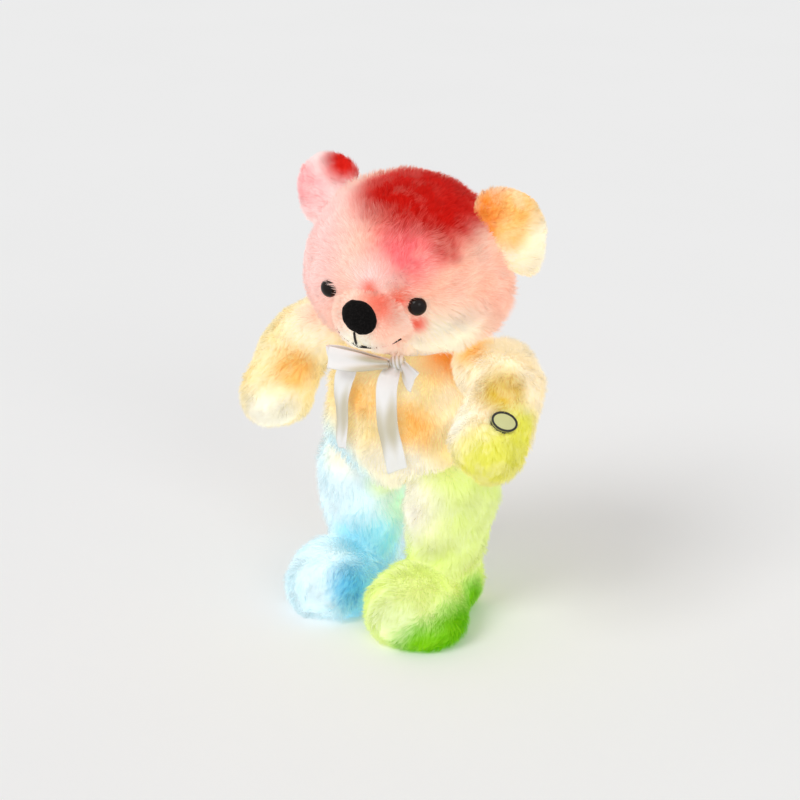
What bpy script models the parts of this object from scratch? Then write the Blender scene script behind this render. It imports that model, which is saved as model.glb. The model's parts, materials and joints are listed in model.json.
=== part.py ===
"""Plush bear night light: stuffed body, head and limbs, satin bow, battery pocket, board, lights and switch.

Metres, +Z up. The bear stands on its soles and faces -Y; its own left is +X.
"""
import math

import bmesh
import bpy
from mathutils import Matrix, Vector

# General clearances
SEAT_GAP = 0.0003          # between two pieces that touch
JOINT_GAP = 0.0005         # between a limb's ball and its socket
CUT_OVERRUN = 0.006        # how far a cutter passes a face that it opens
MERGE = 0.00001            # merging distance for turned shapes and caps

# Torso: width, depth and heights
TORSO_WIDTH = 0.168
TORSO_DEPTH = 0.138
TORSO_BASE = 0.129
TORSO_SHOULDER = 0.283
TORSO_RING_SHARES = ((0.0, 0.0), (0.02, 0.36), (0.10, 0.70), (0.22, 0.90), (0.38, 0.99), (0.55, 1.0),
                     (0.70, 0.985), (0.82, 0.93), (0.91, 0.82), (0.97, 0.66), (1.0, 0.0))
TORSO_FACETS = 24

# Neck: a round column that the head turns on
NECK_RADIUS = 0.050
NECK_TOP = 0.3025
NECK_ROOT = 0.253
HEAD_RECESS_RADIUS = 0.056

# Head: an ellipsoid with full cheeks
HEAD_WIDTH = 0.200
HEAD_DEPTH = 0.182
HEAD_HEIGHT = 0.174
HEAD_CENTRE_HEIGHT = 0.365
HEAD_FORWARD = 0.008
HEAD_TURN = math.radians(12)
HEAD_TILT = math.radians(3.5)
CHEEK_SHARE = 0.15

# Muzzle
MUZZLE_WIDTH = 0.078
MUZZLE_DEPTH = 0.072
MUZZLE_HEIGHT = 0.064
MUZZLE_FORWARD = 0.075
MUZZLE_DROP = 0.030

# Nose, a flocked cap on a stem with a lock washer
NOSE_WIDTH = 0.034
NOSE_HEIGHT = 0.031
NOSE_DEPTH = 0.018
NOSE_RISE_ANGLE = math.radians(15)

# Eyes, with stems and lock washers
EYE_DIAMETER = 0.0145
EYE_BULGE = 0.0055
EYE_ANGLE = math.radians(29.5)
EYE_DROP_ANGLE = math.radians(6.5)
STEM_RADIUS = 0.0018
STEM_LENGTH = 0.014
WASHER_RADIUS = 0.009
WASHER_THICKNESS = 0.0015
WASHER_DEPTH = 0.008

# Mouth stitches
THREAD_RADIUS = 0.0008
SMILE_WIDTH = 0.073
SMILE_DROP_ANGLE = math.radians(42)
STITCH_TOP_ANGLE = math.radians(10)

# Ears
EAR_WIDTH = 0.070
EAR_HEIGHT = 0.078
EAR_THICKNESS = 0.026
EAR_SIDE = 0.090
EAR_RISE = 0.046
EAR_BACK = 0.014
EAR_SPLAY = math.radians(16)
EAR_LEAN = math.radians(24)
EAR_CUP_DEPTH = 0.007
EAR_CUP_SHARE = 0.66

# Arms: shoulder ball, elbow and paw, as half-width, forward and height
SHOULDER_SIDE = 0.086
SHOULDER_FORWARD = 0.005
SHOULDER_HEIGHT = 0.270
SHOULDER_RADIUS = 0.029
LEFT_ELBOW_OUT = 0.036
LEFT_ELBOW_FORWARD = 0.014
LEFT_ELBOW_DROP = 0.002
LEFT_PAW_OUT = 0.044
LEFT_PAW_FORWARD = 0.053
LEFT_PAW_DROP = 0.046
RIGHT_ELBOW_OUT = 0.036
RIGHT_ELBOW_FORWARD = 0.013
RIGHT_ELBOW_DROP = 0.005
RIGHT_PAW_OUT = 0.049
RIGHT_PAW_FORWARD = 0.040
RIGHT_PAW_DROP = 0.061
ELBOW_RADIUS = 0.033
PAW_RADIUS = 0.033

# Legs and feet
HIP_SIDE = 0.050
HIP_HEIGHT = 0.141
HIP_RADIUS = 0.046
SHIN_RADIUS = 0.036
SHIN_HEIGHT = 0.076
SHIN_FORWARD = 0.006
ANKLE_RADIUS = 0.034
ANKLE_HEIGHT = 0.046
ANKLE_FORWARD = 0.012
TOE_WIDTH = 0.087
TOE_LENGTH = 0.090
TOE_HEIGHT = 0.070
TOE_FORWARD = 0.067
TOE_CENTRE_HEIGHT = 0.030
HEEL_WIDTH = 0.064
HEEL_LENGTH = 0.076
HEEL_HEIGHT = 0.066
HEEL_BACK = -0.004
HEEL_CENTRE_HEIGHT = 0.025

# The room that the thighs sweep in the torso's underside
SWEEP_ANGLES = tuple(math.radians(degrees) for degrees in (-20, 0, 18, 36, 55))
SWEEP_GAP = 0.001

# Facets of the round soft forms
LIMB_RESOLUTION = 4
HEAD_SEGMENTS = 24
HEAD_RINGS = 14
BALL_SEGMENTS = 16
BALL_RINGS = 10

# Battery case, three AA cells side by side
CELL_RADIUS = 0.00725
CELL_LENGTH = 0.0505
CELL_NUB_RADIUS = 0.00275
CELL_NUB_LENGTH = 0.0015
CELL_PITCH = 0.0152
CELL_COUNT = 3
CASE_WALL = 0.0018
CASE_BOSS = 0.0085
COVER_THICKNESS = 0.0016
BATTERY_SPRING_RADIUS = 0.0032
BATTERY_SPRING_WIRE = 0.0004
BATTERY_SPRING_LENGTH = 0.0064
BATTERY_SPRING_TURNS = 2.5
SCREW_RADIUS = 0.0013
SCREW_HEAD_RADIUS = 0.0026
SCREW_LENGTH = 0.0070
SCREW_HEAD_THICKNESS = 0.0012
CASE_DROP = 0.03695

# Zip panel in the back
PANEL_INSET = 0.0045
PANEL_THICKNESS = 0.0012
ZIP_TEETH_WIDTH = 0.0045
ZIP_TEETH_THICKNESS = 0.0014
ZIP_TOOTH_PITCH = 0.0055
ZIP_NOTCH = 0.0008
TOOTH_SHARE = 0.6
ZIP_END_MARGIN = 0.003
SLIDER_WIDTH = 0.0085
SLIDER_LENGTH = 0.0095
SLIDER_THICKNESS = 0.0028
PULL_WIDTH = 0.0070
PULL_LENGTH = 0.0220
PULL_THICKNESS = 0.0012
PULL_HOLE_RADIUS = 0.0022

# Controller board
BOARD_WIDTH = 0.034
BOARD_HEIGHT = 0.046
BOARD_THICKNESS = 0.0016
BOARD_STANDOFF = 0.0060
CHIP_WIDTH = 0.008
CHIP_HEIGHT = 0.010
CHIP_THICKNESS = 0.0015
CHIP_DROP = 0.012

# Lights and leads
LED_RADIUS = 0.0025
LED_RIM_RADIUS = 0.0029
LED_RIM_HEIGHT = 0.0010
LED_LENGTH = 0.0086
LEAD_RADIUS = 0.0011
LEAD_CLEARANCE = 0.0004
LIGHT_SHARE = 0.75
ARM_LEAD_SHARE = 0.6
BEND_SHARE = 0.12
GATE_ANGLE = math.radians(42)
PAD_SIDE = 0.013
PAD_RISE = 0.016
LEAD_RUN = 0.008

# Push switch in the left forearm and the oval press patch over it
SWITCH_SHARE = 0.76
SWITCH_AIM = (0.66, -0.50, 0.56)
PATCH_LENGTH = 0.0260
PATCH_WIDTH = 0.0190
PATCH_THICKNESS = 0.0016
PATCH_SPIN = math.radians(90)
SWITCH_TRAVEL = 0.0020
HOUSING_RADIUS = 0.0105
HOUSING_HEIGHT = 0.0102
HOUSING_WALL = 0.0015
PLUNGER_RADIUS = 0.0040
FLANGE_RADIUS = 0.0060
FLANGE_THICKNESS = 0.0018
SWITCH_SPRING_RADIUS = 0.0040
SWITCH_SPRING_WIRE = 0.00035
SWITCH_SPRING_TURNS = 2.5
SWITCH_LEAD_RADIUS = 0.0008

# Satin ribbon
RIBBON_WIDTH = 0.024
RIBBON_THICKNESS = 0.0010
BAND_HEIGHT = 0.0165
BAND_TOP = 0.3005
KNOT_ANGLE = math.radians(22)
KNOT_WIDTH = 0.018
KNOT_HEIGHT = 0.015
KNOT_DROP = 0.020
KNOT_THICKNESS = 0.014
LEFT_LOOP_REACH = 0.018
RIGHT_LOOP_REACH = 0.066
LOOP_OPENING = 0.008
LOOP_WIDTH = 0.015
LEFT_TAIL_ANGLE = math.radians(20)
RIGHT_TAIL_ANGLE = math.radians(-30)
TAIL_LIFT = 0.0016
LEFT_TAIL_LENGTH = 0.108
RIGHT_TAIL_LENGTH = 0.098

# Steps along curves
ROUND_STEPS = 18
SMALL_STEPS = 10
COIL_POINTS = 8
PATH_STEPS = 3
CAP_STEPS = 4
CAP_ANGLE = math.radians(84)
DISH_STEPS = 7
DOME_STEPS = 5
LED_DOME_STEPS = 3
STITCH_STEPS = 5
SMILE_STEPS = 12
LOOP_STEPS = 8
TAIL_STEPS = 10
KNOT_RINGS = 8
SHARP_ANGLE = math.radians(50)

PART_NAME = "plush_bear_night_light"
CUTTERS_NAME = "cutters"


# Scene, collections and materials

def clear_scene():
    for obj in list(bpy.data.objects):
        bpy.data.objects.remove(obj, do_unlink=True)


def new_collection(name):
    collection = bpy.data.collections.new(name)
    bpy.context.scene.collection.children.link(collection)
    return collection


def make_material(name, colour, roughness, metallic=0.0):
    material = bpy.data.materials.new(name)
    material.use_nodes = True
    shader = material.node_tree.nodes["Principled BSDF"]
    shader.inputs["Base Color"].default_value = (*colour, 1.0)
    shader.inputs["Roughness"].default_value = roughness
    shader.inputs["Metallic"].default_value = metallic
    return material


MATERIAL_SETTINGS = {
    "plush_torso": ((0.95, 0.87, 0.68), 0.95, 0.0),
    "plush_head": ((0.95, 0.66, 0.62), 0.95, 0.0),
    "plush_muzzle": ((0.94, 0.72, 0.62), 0.90, 0.0),
    "plush_ear": ((0.93, 0.62, 0.48), 0.95, 0.0),
    "plush_arm": ((0.95, 0.86, 0.55), 0.95, 0.0),
    "plush_leg_blue": ((0.66, 0.88, 0.95), 0.95, 0.0),
    "plush_leg_green": ((0.82, 0.93, 0.55), 0.95, 0.0),
    "satin": ((0.92, 0.91, 0.89), 0.35, 0.0),
    "eye_plastic": ((0.02, 0.012, 0.01), 0.08, 0.0),
    "nose_flock": ((0.012, 0.011, 0.011), 0.85, 0.0),
    "thread": ((0.03, 0.02, 0.02), 0.8, 0.0),
    "washer_plastic": ((0.85, 0.85, 0.83), 0.5, 0.0),
    "case_plastic": ((0.90, 0.90, 0.88), 0.45, 0.0),
    "cell_steel": ((0.62, 0.63, 0.64), 0.3, 1.0),
    "spring_steel": ((0.72, 0.72, 0.73), 0.25, 1.0),
    "board_resin": ((0.05, 0.28, 0.12), 0.5, 0.0),
    "chip_resin": ((0.03, 0.03, 0.03), 0.6, 0.0),
    "led_resin": ((0.95, 0.95, 0.95), 0.1, 0.0),
    "lead_vinyl": ((0.75, 0.08, 0.06), 0.5, 0.0),
    "panel_fabric": ((0.90, 0.86, 0.76), 0.9, 0.0),
    "zip_nylon": ((0.92, 0.91, 0.88), 0.4, 0.0),
    "zip_metal": ((0.70, 0.70, 0.71), 0.3, 1.0),
    "patch_vinyl": ((0.88, 0.90, 0.80), 0.5, 0.0),
    "switch_plastic": ((0.08, 0.08, 0.08), 0.5, 0.0),
}


class Builder:
    """Holds the two collections, the materials and the joint empties while the bear is made."""

    def __init__(self):
        self.parts = new_collection(PART_NAME)
        self.cutters = new_collection(CUTTERS_NAME)
        self.materials = {name: make_material(name, *values) for name, values in MATERIAL_SETTINGS.items()}
        self.root = self.empty("bear_root", None, Vector((0.0, 0.0, 0.0)))

    def empty(self, name, parent, place, rotation=None):
        pivot = bpy.data.objects.new(name, None)
        self.parts.objects.link(pivot)
        pivot.parent = parent
        pivot.location = place
        if rotation is not None:
            pivot.rotation_euler = rotation
        return pivot

    def add(self, name, mesh, owner, material, place=None, turn=None):
        """A named piece: its mesh is in the owner's own axes, measured from place."""
        obj = bpy.data.objects.new(name, mesh)
        self.parts.objects.link(obj)
        settle(obj, owner, place, turn)
        mesh.name = name
        mesh.materials.clear()
        mesh.materials.append(self.materials[material])
        return obj

    def tool(self, name, mesh, owner, place=None, turn=None):
        """A cutter or a joined form, kept out of the part."""
        obj = bpy.data.objects.new(name, mesh)
        self.cutters.objects.link(obj)
        settle(obj, owner, place, turn)
        obj.hide_render = True
        obj.display_type = "WIRE"
        return obj


def settle(obj, owner, place, turn):
    obj.parent = owner
    if place is not None:
        obj.location = place
    if turn is not None:
        obj.rotation_mode = "QUATERNION"
        obj.rotation_quaternion = turn


def combine(target, other, operation):
    modifier = target.modifiers.new(operation.lower() + "_" + other.name, "BOOLEAN")
    modifier.operation = operation
    modifier.solver = "EXACT"
    modifier.object = other


def cut(target, *tools):
    for tool in tools:
        combine(target, tool, "DIFFERENCE")


def join(target, *tools):
    for tool in tools:
        combine(target, tool, "UNION")


# Mesh makers

def evaluated_mesh(obj):
    """The finished mesh of a helper object, which is then removed."""
    bpy.context.view_layer.update()
    graph = bpy.context.evaluated_depsgraph_get()
    mesh = bpy.data.meshes.new_from_object(obj.evaluated_get(graph), depsgraph=graph)
    bpy.data.objects.remove(obj, do_unlink=True)
    form = bmesh.new()
    form.from_mesh(mesh)
    bmesh.ops.remove_doubles(form, verts=form.verts, dist=MERGE)
    form.to_mesh(mesh)
    form.free()
    return mesh


def turned(profile, steps=ROUND_STEPS, closed=False):
    """A profile of (radius, height) pairs, from the top down its outer side, turned about Z."""
    mesh = bpy.data.meshes.new("profile")
    points = [(radius, 0.0, height) for radius, height in profile]
    edges = [(index, index + 1) for index in range(len(points) - 1)]
    if closed:
        edges.append((len(points) - 1, 0))
    mesh.from_pydata(points, edges, [])
    obj = bpy.data.objects.new("turning", mesh)
    bpy.context.scene.collection.objects.link(obj)
    screw = obj.modifiers.new("turn", "SCREW")
    screw.axis = "Z"
    screw.angle = math.tau
    screw.steps = steps
    screw.render_steps = steps
    screw.use_merge_vertices = True
    screw.merge_threshold = MERGE
    result = evaluated_mesh(obj)
    smooth(result)
    return result


def tube(points, radius, resolution=1, radii=None):
    """A round bar along the points; radii, where given, are the radius at each point."""
    curve = bpy.data.curves.new("run", "CURVE")
    curve.dimensions = "3D"
    curve.bevel_depth = radius
    curve.bevel_resolution = resolution
    curve.use_fill_caps = True
    spline = curve.splines.new("POLY")
    spline.points.add(len(points) - 1)
    for index, point in enumerate(points):
        spline.points[index].co = (*point, 1.0)
        if radii is not None:
            spline.points[index].radius = radii[index] / radius
    obj = bpy.data.objects.new("run", curve)
    bpy.context.scene.collection.objects.link(obj)
    result = evaluated_mesh(obj)
    smooth(result)
    return result


def cylinder(radius, bottom, top, steps=ROUND_STEPS):
    return turned([(0.0, top), (radius, top), (radius, bottom), (0.0, bottom)], steps)


def ball(width, depth, height, segments=BALL_SEGMENTS, rings=BALL_RINGS):
    form = bmesh.new()
    bmesh.ops.create_uvsphere(form, u_segments=segments, v_segments=rings, radius=0.5)
    bmesh.ops.scale(form, vec=(width, depth, height), verts=form.verts)
    mesh = bpy.data.meshes.new("ball")
    form.to_mesh(mesh)
    form.free()
    smooth(mesh)
    return mesh


def box(width, depth, height, corner=0.0):
    form = bmesh.new()
    bmesh.ops.create_cube(form, size=1.0)
    bmesh.ops.scale(form, vec=(width, depth, height), verts=form.verts)
    if corner > 0.0:
        bmesh.ops.bevel(form, geom=form.edges, offset=corner, segments=2, affect="EDGES", profile=0.5)
    mesh = bpy.data.meshes.new("box")
    form.to_mesh(mesh)
    form.free()
    return mesh


def span_box(low, high, corner=0.0):
    """A box from its low corner to its high corner."""
    mesh = box(*(Vector(high) - Vector(low)), corner)
    mesh.transform(Matrix.Translation((Vector(low) + Vector(high)) / 2))
    return mesh


def smooth(mesh):
    mesh.shade_smooth()
    mesh.set_sharp_from_angle(angle=SHARP_ANGLE)


def along(direction):
    """The turn that takes +Z to a direction."""
    return Vector((0.0, 0.0, 1.0)).rotation_difference(Vector(direction))


def smooth_path(stations, steps=PATH_STEPS, straight_ends=False):
    """Points read from one smooth curve through the stations; its first and last runs can be straight."""
    knots = [Vector(station) for station in stations]
    if straight_ends:
        return [knots[0]] + smooth_spans(knots, steps) + [knots[-1]]
    first = knots[0] * 2 - knots[1]
    last = knots[-1] * 2 - knots[-2]
    return smooth_spans([first] + knots + [last], steps)


def smooth_spans(knots, steps):
    path = []
    for a, b, c, d in zip(knots, knots[1:], knots[2:], knots[3:]):
        for step in range(steps):
            t = step / steps
            path.append((b * 2 + (c - a) * t + (a * 2 - b * 5 + c * 4 - d) * t ** 2
                         + (b * 3 - a - c * 3 + d) * t ** 3) / 2)
    path.append(knots[-2])
    return path


def ball_cap(centre, outward, radius):
    """Stations from a limb's end centre out to its round tip, as (place, radius)."""
    stations = []
    for step in range(1, CAP_STEPS + 1):
        angle = CAP_ANGLE * step / CAP_STEPS
        stations.append((centre + outward * radius * math.sin(angle), radius * math.cos(angle)))
    return stations


def limb_mesh(stations, radii):
    """A stuffed limb along stations, with a ball at each end."""
    rows = [Vector((*station, radius)) for station, radius in zip(stations, radii)]
    path = smooth_path(rows)
    places = [Vector(row[:3]) for row in path]
    widths = [row[3] for row in path]
    start = (places[0] - places[1]).normalized()
    end = (places[-1] - places[-2]).normalized()
    head = ball_cap(places[0], start, widths[0])[::-1]
    tail = ball_cap(places[-1], end, widths[-1])
    points = [place for place, _ in head] + places + [place for place, _ in tail]
    sizes = [radius for _, radius in head] + widths + [radius for _, radius in tail]
    return tube(points, max(sizes), LIMB_RESOLUTION, sizes)


def coil(radius, wire, bottom, top, turns):
    """A spring about Z, from bottom to top."""
    low = bottom + wire
    high = top - wire
    count = round(turns * COIL_POINTS)
    points = []
    for index in range(count + 1):
        share = index / count
        angle = math.tau * turns * share
        height = low + (high - low) * share
        points.append(Vector((radius * math.cos(angle), radius * math.sin(angle), height)))
    return tube(points, wire)


# Places that several pieces share

def mirrored(side, out, forward, height):
    return Vector((side * out, -forward, height))


def torso_half_width(height):
    """The torso's half-width at a height, read from its ring shares."""
    share = (height - TORSO_BASE) / (TORSO_SHOULDER - TORSO_BASE)
    for (low, narrow), (high, wide) in zip(TORSO_RING_SHARES, TORSO_RING_SHARES[1:]):
        if low <= share <= high:
            return TORSO_WIDTH / 2 * (narrow + (wide - narrow) * (share - low) / (high - low))
    return 0.0


def torso_front(angle, height):
    """A point on the torso's surface, at an angle from straight ahead towards its left."""
    half = torso_half_width(height)
    return Vector((half * math.sin(angle), -half * TORSO_DEPTH / TORSO_WIDTH * math.cos(angle), height))


def shoulder(side):
    return mirrored(side, SHOULDER_SIDE, SHOULDER_FORWARD, SHOULDER_HEIGHT)


def hip(side):
    return mirrored(side, HIP_SIDE, 0.0, HIP_HEIGHT)


CASE_DEPTH = 2 * CELL_RADIUS + CASE_WALL + 2 * SEAT_GAP
CASE_INNER_WIDTH = (CELL_COUNT - 1) * CELL_PITCH + 2 * CELL_RADIUS + 2 * SEAT_GAP
CASE_INNER_HEIGHT = CELL_LENGTH + BATTERY_SPRING_LENGTH + 3 * SEAT_GAP
CASE_WIDTH = CASE_INNER_WIDTH + 2 * CASE_WALL
CASE_HEIGHT = CASE_INNER_HEIGHT + CASE_WALL + CASE_BOSS
CASE_CENTRE_HEIGHT = BAND_TOP - BAND_HEIGHT - CASE_DROP - CASE_HEIGHT / 2
CASE_BASE = CASE_CENTRE_HEIGHT - CASE_HEIGHT / 2
PANEL_OUTER = TORSO_DEPTH / 2 - PANEL_INSET
PANEL_INNER = PANEL_OUTER - PANEL_THICKNESS
COVER_OUTER = PANEL_INNER - SEAT_GAP
COVER_INNER = COVER_OUTER - COVER_THICKNESS
CASE_BACK = COVER_INNER - SEAT_GAP
CASE_FRONT = CASE_BACK - CASE_DEPTH
CELL_MIDDLE = CASE_FRONT + CASE_WALL + SEAT_GAP + CELL_RADIUS
BOARD_BACK = CASE_FRONT - BOARD_STANDOFF
BOARD_FRONT = BOARD_BACK - BOARD_THICKNESS
BAY_FRONT = BOARD_FRONT - CHIP_THICKNESS - 2 * SEAT_GAP


# Torso and what it carries

def build_torso(kit):
    height = TORSO_SHOULDER - TORSO_BASE
    rings = smooth_path([Vector((share * height, wide * TORSO_WIDTH / 2, 0.0))
                         for share, wide in TORSO_RING_SHARES], 1)
    profile = [(max(ring.y, 0.0), TORSO_BASE + ring.x) for ring in reversed(rings)]
    mesh = turned(profile, TORSO_FACETS)
    mesh.transform(Matrix.Diagonal((1.0, TORSO_DEPTH / TORSO_WIDTH, 1.0, 1.0)))
    torso = kit.add("torso", mesh, kit.root, "plush_torso")
    join(torso, kit.tool("neck_column", cylinder(NECK_RADIUS, NECK_ROOT, NECK_TOP, TORSO_FACETS), kit.root))
    for side, word in ((1, "left"), (-1, "right")):
        cut(torso, kit.tool(word + "_thigh_sweep", thigh_sweep_mesh(), kit.root, hip(side)))
        cut(torso, kit.tool(word + "_shoulder_dish", shoulder_dish_mesh(), kit.root, shoulder(side),
                            along((side, 0.0, 0.0))))
    return torso


def thigh_mesh(growth=0.0):
    """The leg from hip to ankle, measured from the hip."""
    shin = Vector((0.0, -SHIN_FORWARD, SHIN_HEIGHT - HIP_HEIGHT))
    ankle = Vector((0.0, -ANKLE_FORWARD, ANKLE_HEIGHT - HIP_HEIGHT))
    radii = [radius + growth for radius in (HIP_RADIUS, SHIN_RADIUS, ANKLE_RADIUS)]
    return limb_mesh([Vector((0.0, 0.0, 0.0)), shin, ankle], radii)


def hull_mesh(name, points):
    """The convex form round a cloud of points."""
    form = bmesh.new()
    for point in points:
        form.verts.new(point)
    hull = bmesh.ops.convex_hull(form, input=form.verts)
    inside = set(hull["geom_interior"]) | set(hull["geom_unused"])
    spare = [item for item in inside if isinstance(item, bmesh.types.BMVert)]
    bmesh.ops.delete(form, geom=spare, context="VERTS")
    mesh = bpy.data.meshes.new(name)
    form.to_mesh(mesh)
    form.free()
    return mesh


def thigh_sweep_mesh():
    """The hull round the leg at several angles of its swing."""
    thigh = thigh_mesh(SWEEP_GAP)
    return hull_mesh("sweep", [Matrix.Rotation(-angle, 4, "X") @ vertex.co
                               for angle in SWEEP_ANGLES for vertex in thigh.vertices])


def shoulder_dish_mesh():
    """The space that the upper arm sweeps, turned about the shoulder axis, which runs along +Z here."""
    radius = SHOULDER_RADIUS + JOINT_GAP
    out = min(LEFT_ELBOW_OUT, RIGHT_ELBOW_OUT)
    away = max(math.hypot(LEFT_ELBOW_FORWARD, LEFT_ELBOW_DROP),
               math.hypot(RIGHT_ELBOW_FORWARD, RIGHT_ELBOW_DROP))
    slope = math.atan2(away, out)
    reach = 2 * SHOULDER_RADIUS
    inner = []
    for step in range(DISH_STEPS + 1):
        angle = (math.pi / 2 - slope) * step / DISH_STEPS
        inner.append((radius * math.sin(angle), -radius * math.cos(angle)))
    inner[0] = (0.0, -radius)
    edge_radius, edge_height = inner[-1]
    flare = (edge_radius + reach * math.sin(slope), edge_height + reach * math.cos(slope))
    top = flare[1] + CUT_OVERRUN
    profile = [(0.0, top), (flare[0], top), flare] + inner[::-1]
    return turned(profile, TORSO_FACETS)


def build_pocket(kit, torso):
    """The pocket in the back for the battery case, and the bay in front of it for the board."""
    half = CASE_WIDTH / 2 + SEAT_GAP
    low = (-half, CASE_FRONT - SEAT_GAP, CASE_BASE - SEAT_GAP)
    high = (half, TORSO_DEPTH / 2 + CUT_OVERRUN, CASE_BASE + CASE_HEIGHT + SEAT_GAP)
    cut(torso, kit.tool("battery_pocket", span_box(low, high), kit.root))
    half = BOARD_WIDTH / 2 + SEAT_GAP
    middle = CASE_CENTRE_HEIGHT
    low = (-half, BAY_FRONT, middle - BOARD_HEIGHT / 2 - SEAT_GAP)
    high = (half, CASE_FRONT + CASE_WALL, middle + BOARD_HEIGHT / 2 + SEAT_GAP)
    cut(torso, kit.tool("board_bay", span_box(low, high), kit.root))


def build_battery(kit):
    half = CASE_WIDTH / 2
    top = CASE_BASE + CASE_HEIGHT
    case = kit.add("battery_case", span_box((-half, CASE_FRONT, CASE_BASE), (half, CASE_BACK, top)), kit.root,
                   "case_plastic")
    inner = CASE_INNER_WIDTH / 2
    bay_base = CASE_BASE + CASE_BOSS
    bay_top = bay_base + CASE_INNER_HEIGHT
    cut(case, kit.tool("cell_bay", span_box((-inner, CASE_FRONT + CASE_WALL, bay_base),
                                            (inner, CASE_BACK + CUT_OVERRUN, bay_top)), kit.root))
    screw_place = Vector((0.0, COVER_OUTER, CASE_BASE + CASE_BOSS / 2))
    back = along((0.0, 1.0, 0.0))
    shank = cylinder(SCREW_RADIUS + SEAT_GAP, -SCREW_LENGTH - SEAT_GAP, CUT_OVERRUN, SMALL_STEPS)
    shank_hole = kit.tool("screw_hole", shank, kit.root, screw_place, back)
    counterbore = cylinder(SCREW_HEAD_RADIUS + SEAT_GAP, -SCREW_HEAD_THICKNESS - SEAT_GAP, CUT_OVERRUN,
                           SMALL_STEPS)
    head_hole = kit.tool("screw_counterbore", counterbore, kit.root, screw_place, back)
    cut(case, shank_hole)
    cover = kit.add("battery_cover", span_box((-half, COVER_INNER, CASE_BASE), (half, COVER_OUTER, top)),
                    kit.root, "case_plastic")
    cut(cover, shank_hole, head_hole)
    screw = turned([(0.0, 0.0), (SCREW_HEAD_RADIUS, 0.0), (SCREW_HEAD_RADIUS, -SCREW_HEAD_THICKNESS),
                    (SCREW_RADIUS, -SCREW_HEAD_THICKNESS), (SCREW_RADIUS, -SCREW_LENGTH),
                    (0.0, -SCREW_LENGTH)], SMALL_STEPS)
    kit.add("cover_screw", screw, kit.root, "zip_metal", screw_place, back)
    for index in range(CELL_COUNT):
        across = (index - (CELL_COUNT - 1) / 2) * CELL_PITCH
        build_cell(kit, index, Vector((across, CELL_MIDDLE, 0.0)), bay_base)


def build_cell(kit, index, column, bay_base):
    """One cell with its spring at the flat end; neighbours are reversed."""
    number = str(index + 1)
    upright = index % 2 == 0
    body_top = CELL_LENGTH - CELL_NUB_LENGTH
    mesh = turned([(0.0, CELL_LENGTH), (CELL_NUB_RADIUS, CELL_LENGTH), (CELL_NUB_RADIUS, body_top),
                   (CELL_RADIUS, body_top), (CELL_RADIUS, 0.0), (0.0, 0.0)])
    spring = coil(BATTERY_SPRING_RADIUS, BATTERY_SPRING_WIRE, 0.0, BATTERY_SPRING_LENGTH,
                  BATTERY_SPRING_TURNS)
    if upright:
        spring_base = bay_base + SEAT_GAP
        cell_base = spring_base + BATTERY_SPRING_LENGTH + SEAT_GAP
        turn = None
        cell_place = column + Vector((0.0, 0.0, cell_base))
    else:
        cell_top = bay_base + SEAT_GAP + CELL_LENGTH
        spring_base = cell_top + SEAT_GAP
        turn = along((0.0, 0.0, -1.0))
        cell_place = column + Vector((0.0, 0.0, cell_top))
    kit.add("cell_" + number, mesh, kit.root, "cell_steel", cell_place, turn)
    spring_place = column + Vector((0.0, 0.0, spring_base))
    kit.add("battery_spring_" + number, spring, kit.root, "spring_steel", spring_place)


def build_zip(kit):
    """The panel that closes the pocket, with its row of teeth, the slider and the pull."""
    half = CASE_WIDTH / 2
    low = CASE_BASE
    high = CASE_BASE + CASE_HEIGHT
    panel = span_box((-half, PANEL_INNER, low), (half, PANEL_OUTER, high))
    kit.add("back_panel", panel, kit.root, "panel_fabric")
    teeth_back = PANEL_OUTER + SEAT_GAP
    outline = zip_outline(low + ZIP_END_MARGIN, high - ZIP_END_MARGIN)
    teeth = extruded(outline, ZIP_TEETH_THICKNESS)
    middle = teeth_back + ZIP_TEETH_THICKNESS / 2
    upright = Matrix.Rotation(math.pi / 2, 4, "X")
    teeth.transform(Matrix.Translation((0.0, middle, 0.0)) @ upright)
    kit.add("zip_teeth", teeth, kit.root, "zip_nylon")
    slider_place = Vector((0.0, teeth_back + ZIP_TEETH_THICKNESS + SEAT_GAP + SLIDER_THICKNESS / 2,
                           high - ZIP_END_MARGIN - SLIDER_LENGTH / 2))
    slide = kit.empty("zip_slide_axis", kit.root, slider_place)
    slider = box(SLIDER_WIDTH, SLIDER_THICKNESS, SLIDER_LENGTH, SLIDER_THICKNESS / 5)
    kit.add("zip_slider", slider, slide, "zip_metal")
    hinge_place = Vector((0.0, SLIDER_THICKNESS / 2 + SEAT_GAP + PULL_THICKNESS / 2, SLIDER_LENGTH / 4))
    hinge = kit.empty("zip_pull_axis", slide, hinge_place)
    pull = kit.add("zip_pull", box(PULL_WIDTH, PULL_THICKNESS, PULL_LENGTH, PULL_THICKNESS / 4), hinge,
                   "zip_metal", Vector((0.0, 0.0, PULL_THICKNESS / 2 - PULL_LENGTH / 2)))
    hole = cylinder(PULL_HOLE_RADIUS, -CUT_OVERRUN, CUT_OVERRUN, SMALL_STEPS)
    hole_place = Vector((0.0, 0.0, PULL_THICKNESS / 2 - PULL_LENGTH + PULL_WIDTH / 2))
    cut(pull, kit.tool("pull_hole", hole, hinge, hole_place, along((0.0, 1.0, 0.0))))


def zip_outline(low, high):
    """A strip with a notch between each pair of teeth, both sides."""
    wide = ZIP_TEETH_WIDTH / 2
    narrow = wide - ZIP_NOTCH
    count = round((high - low) / ZIP_TOOTH_PITCH)
    pitch = (high - low) / count
    right = []
    for index in range(count):
        base = low + pitch * index
        notch = base + pitch * (1 + TOOTH_SHARE) / 2
        right += [(wide, base), (wide, base + pitch * TOOTH_SHARE), (narrow, notch)]
    right.append((wide, high))
    left = [(-across, height) for across, height in reversed(right)]
    return right + left


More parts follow.
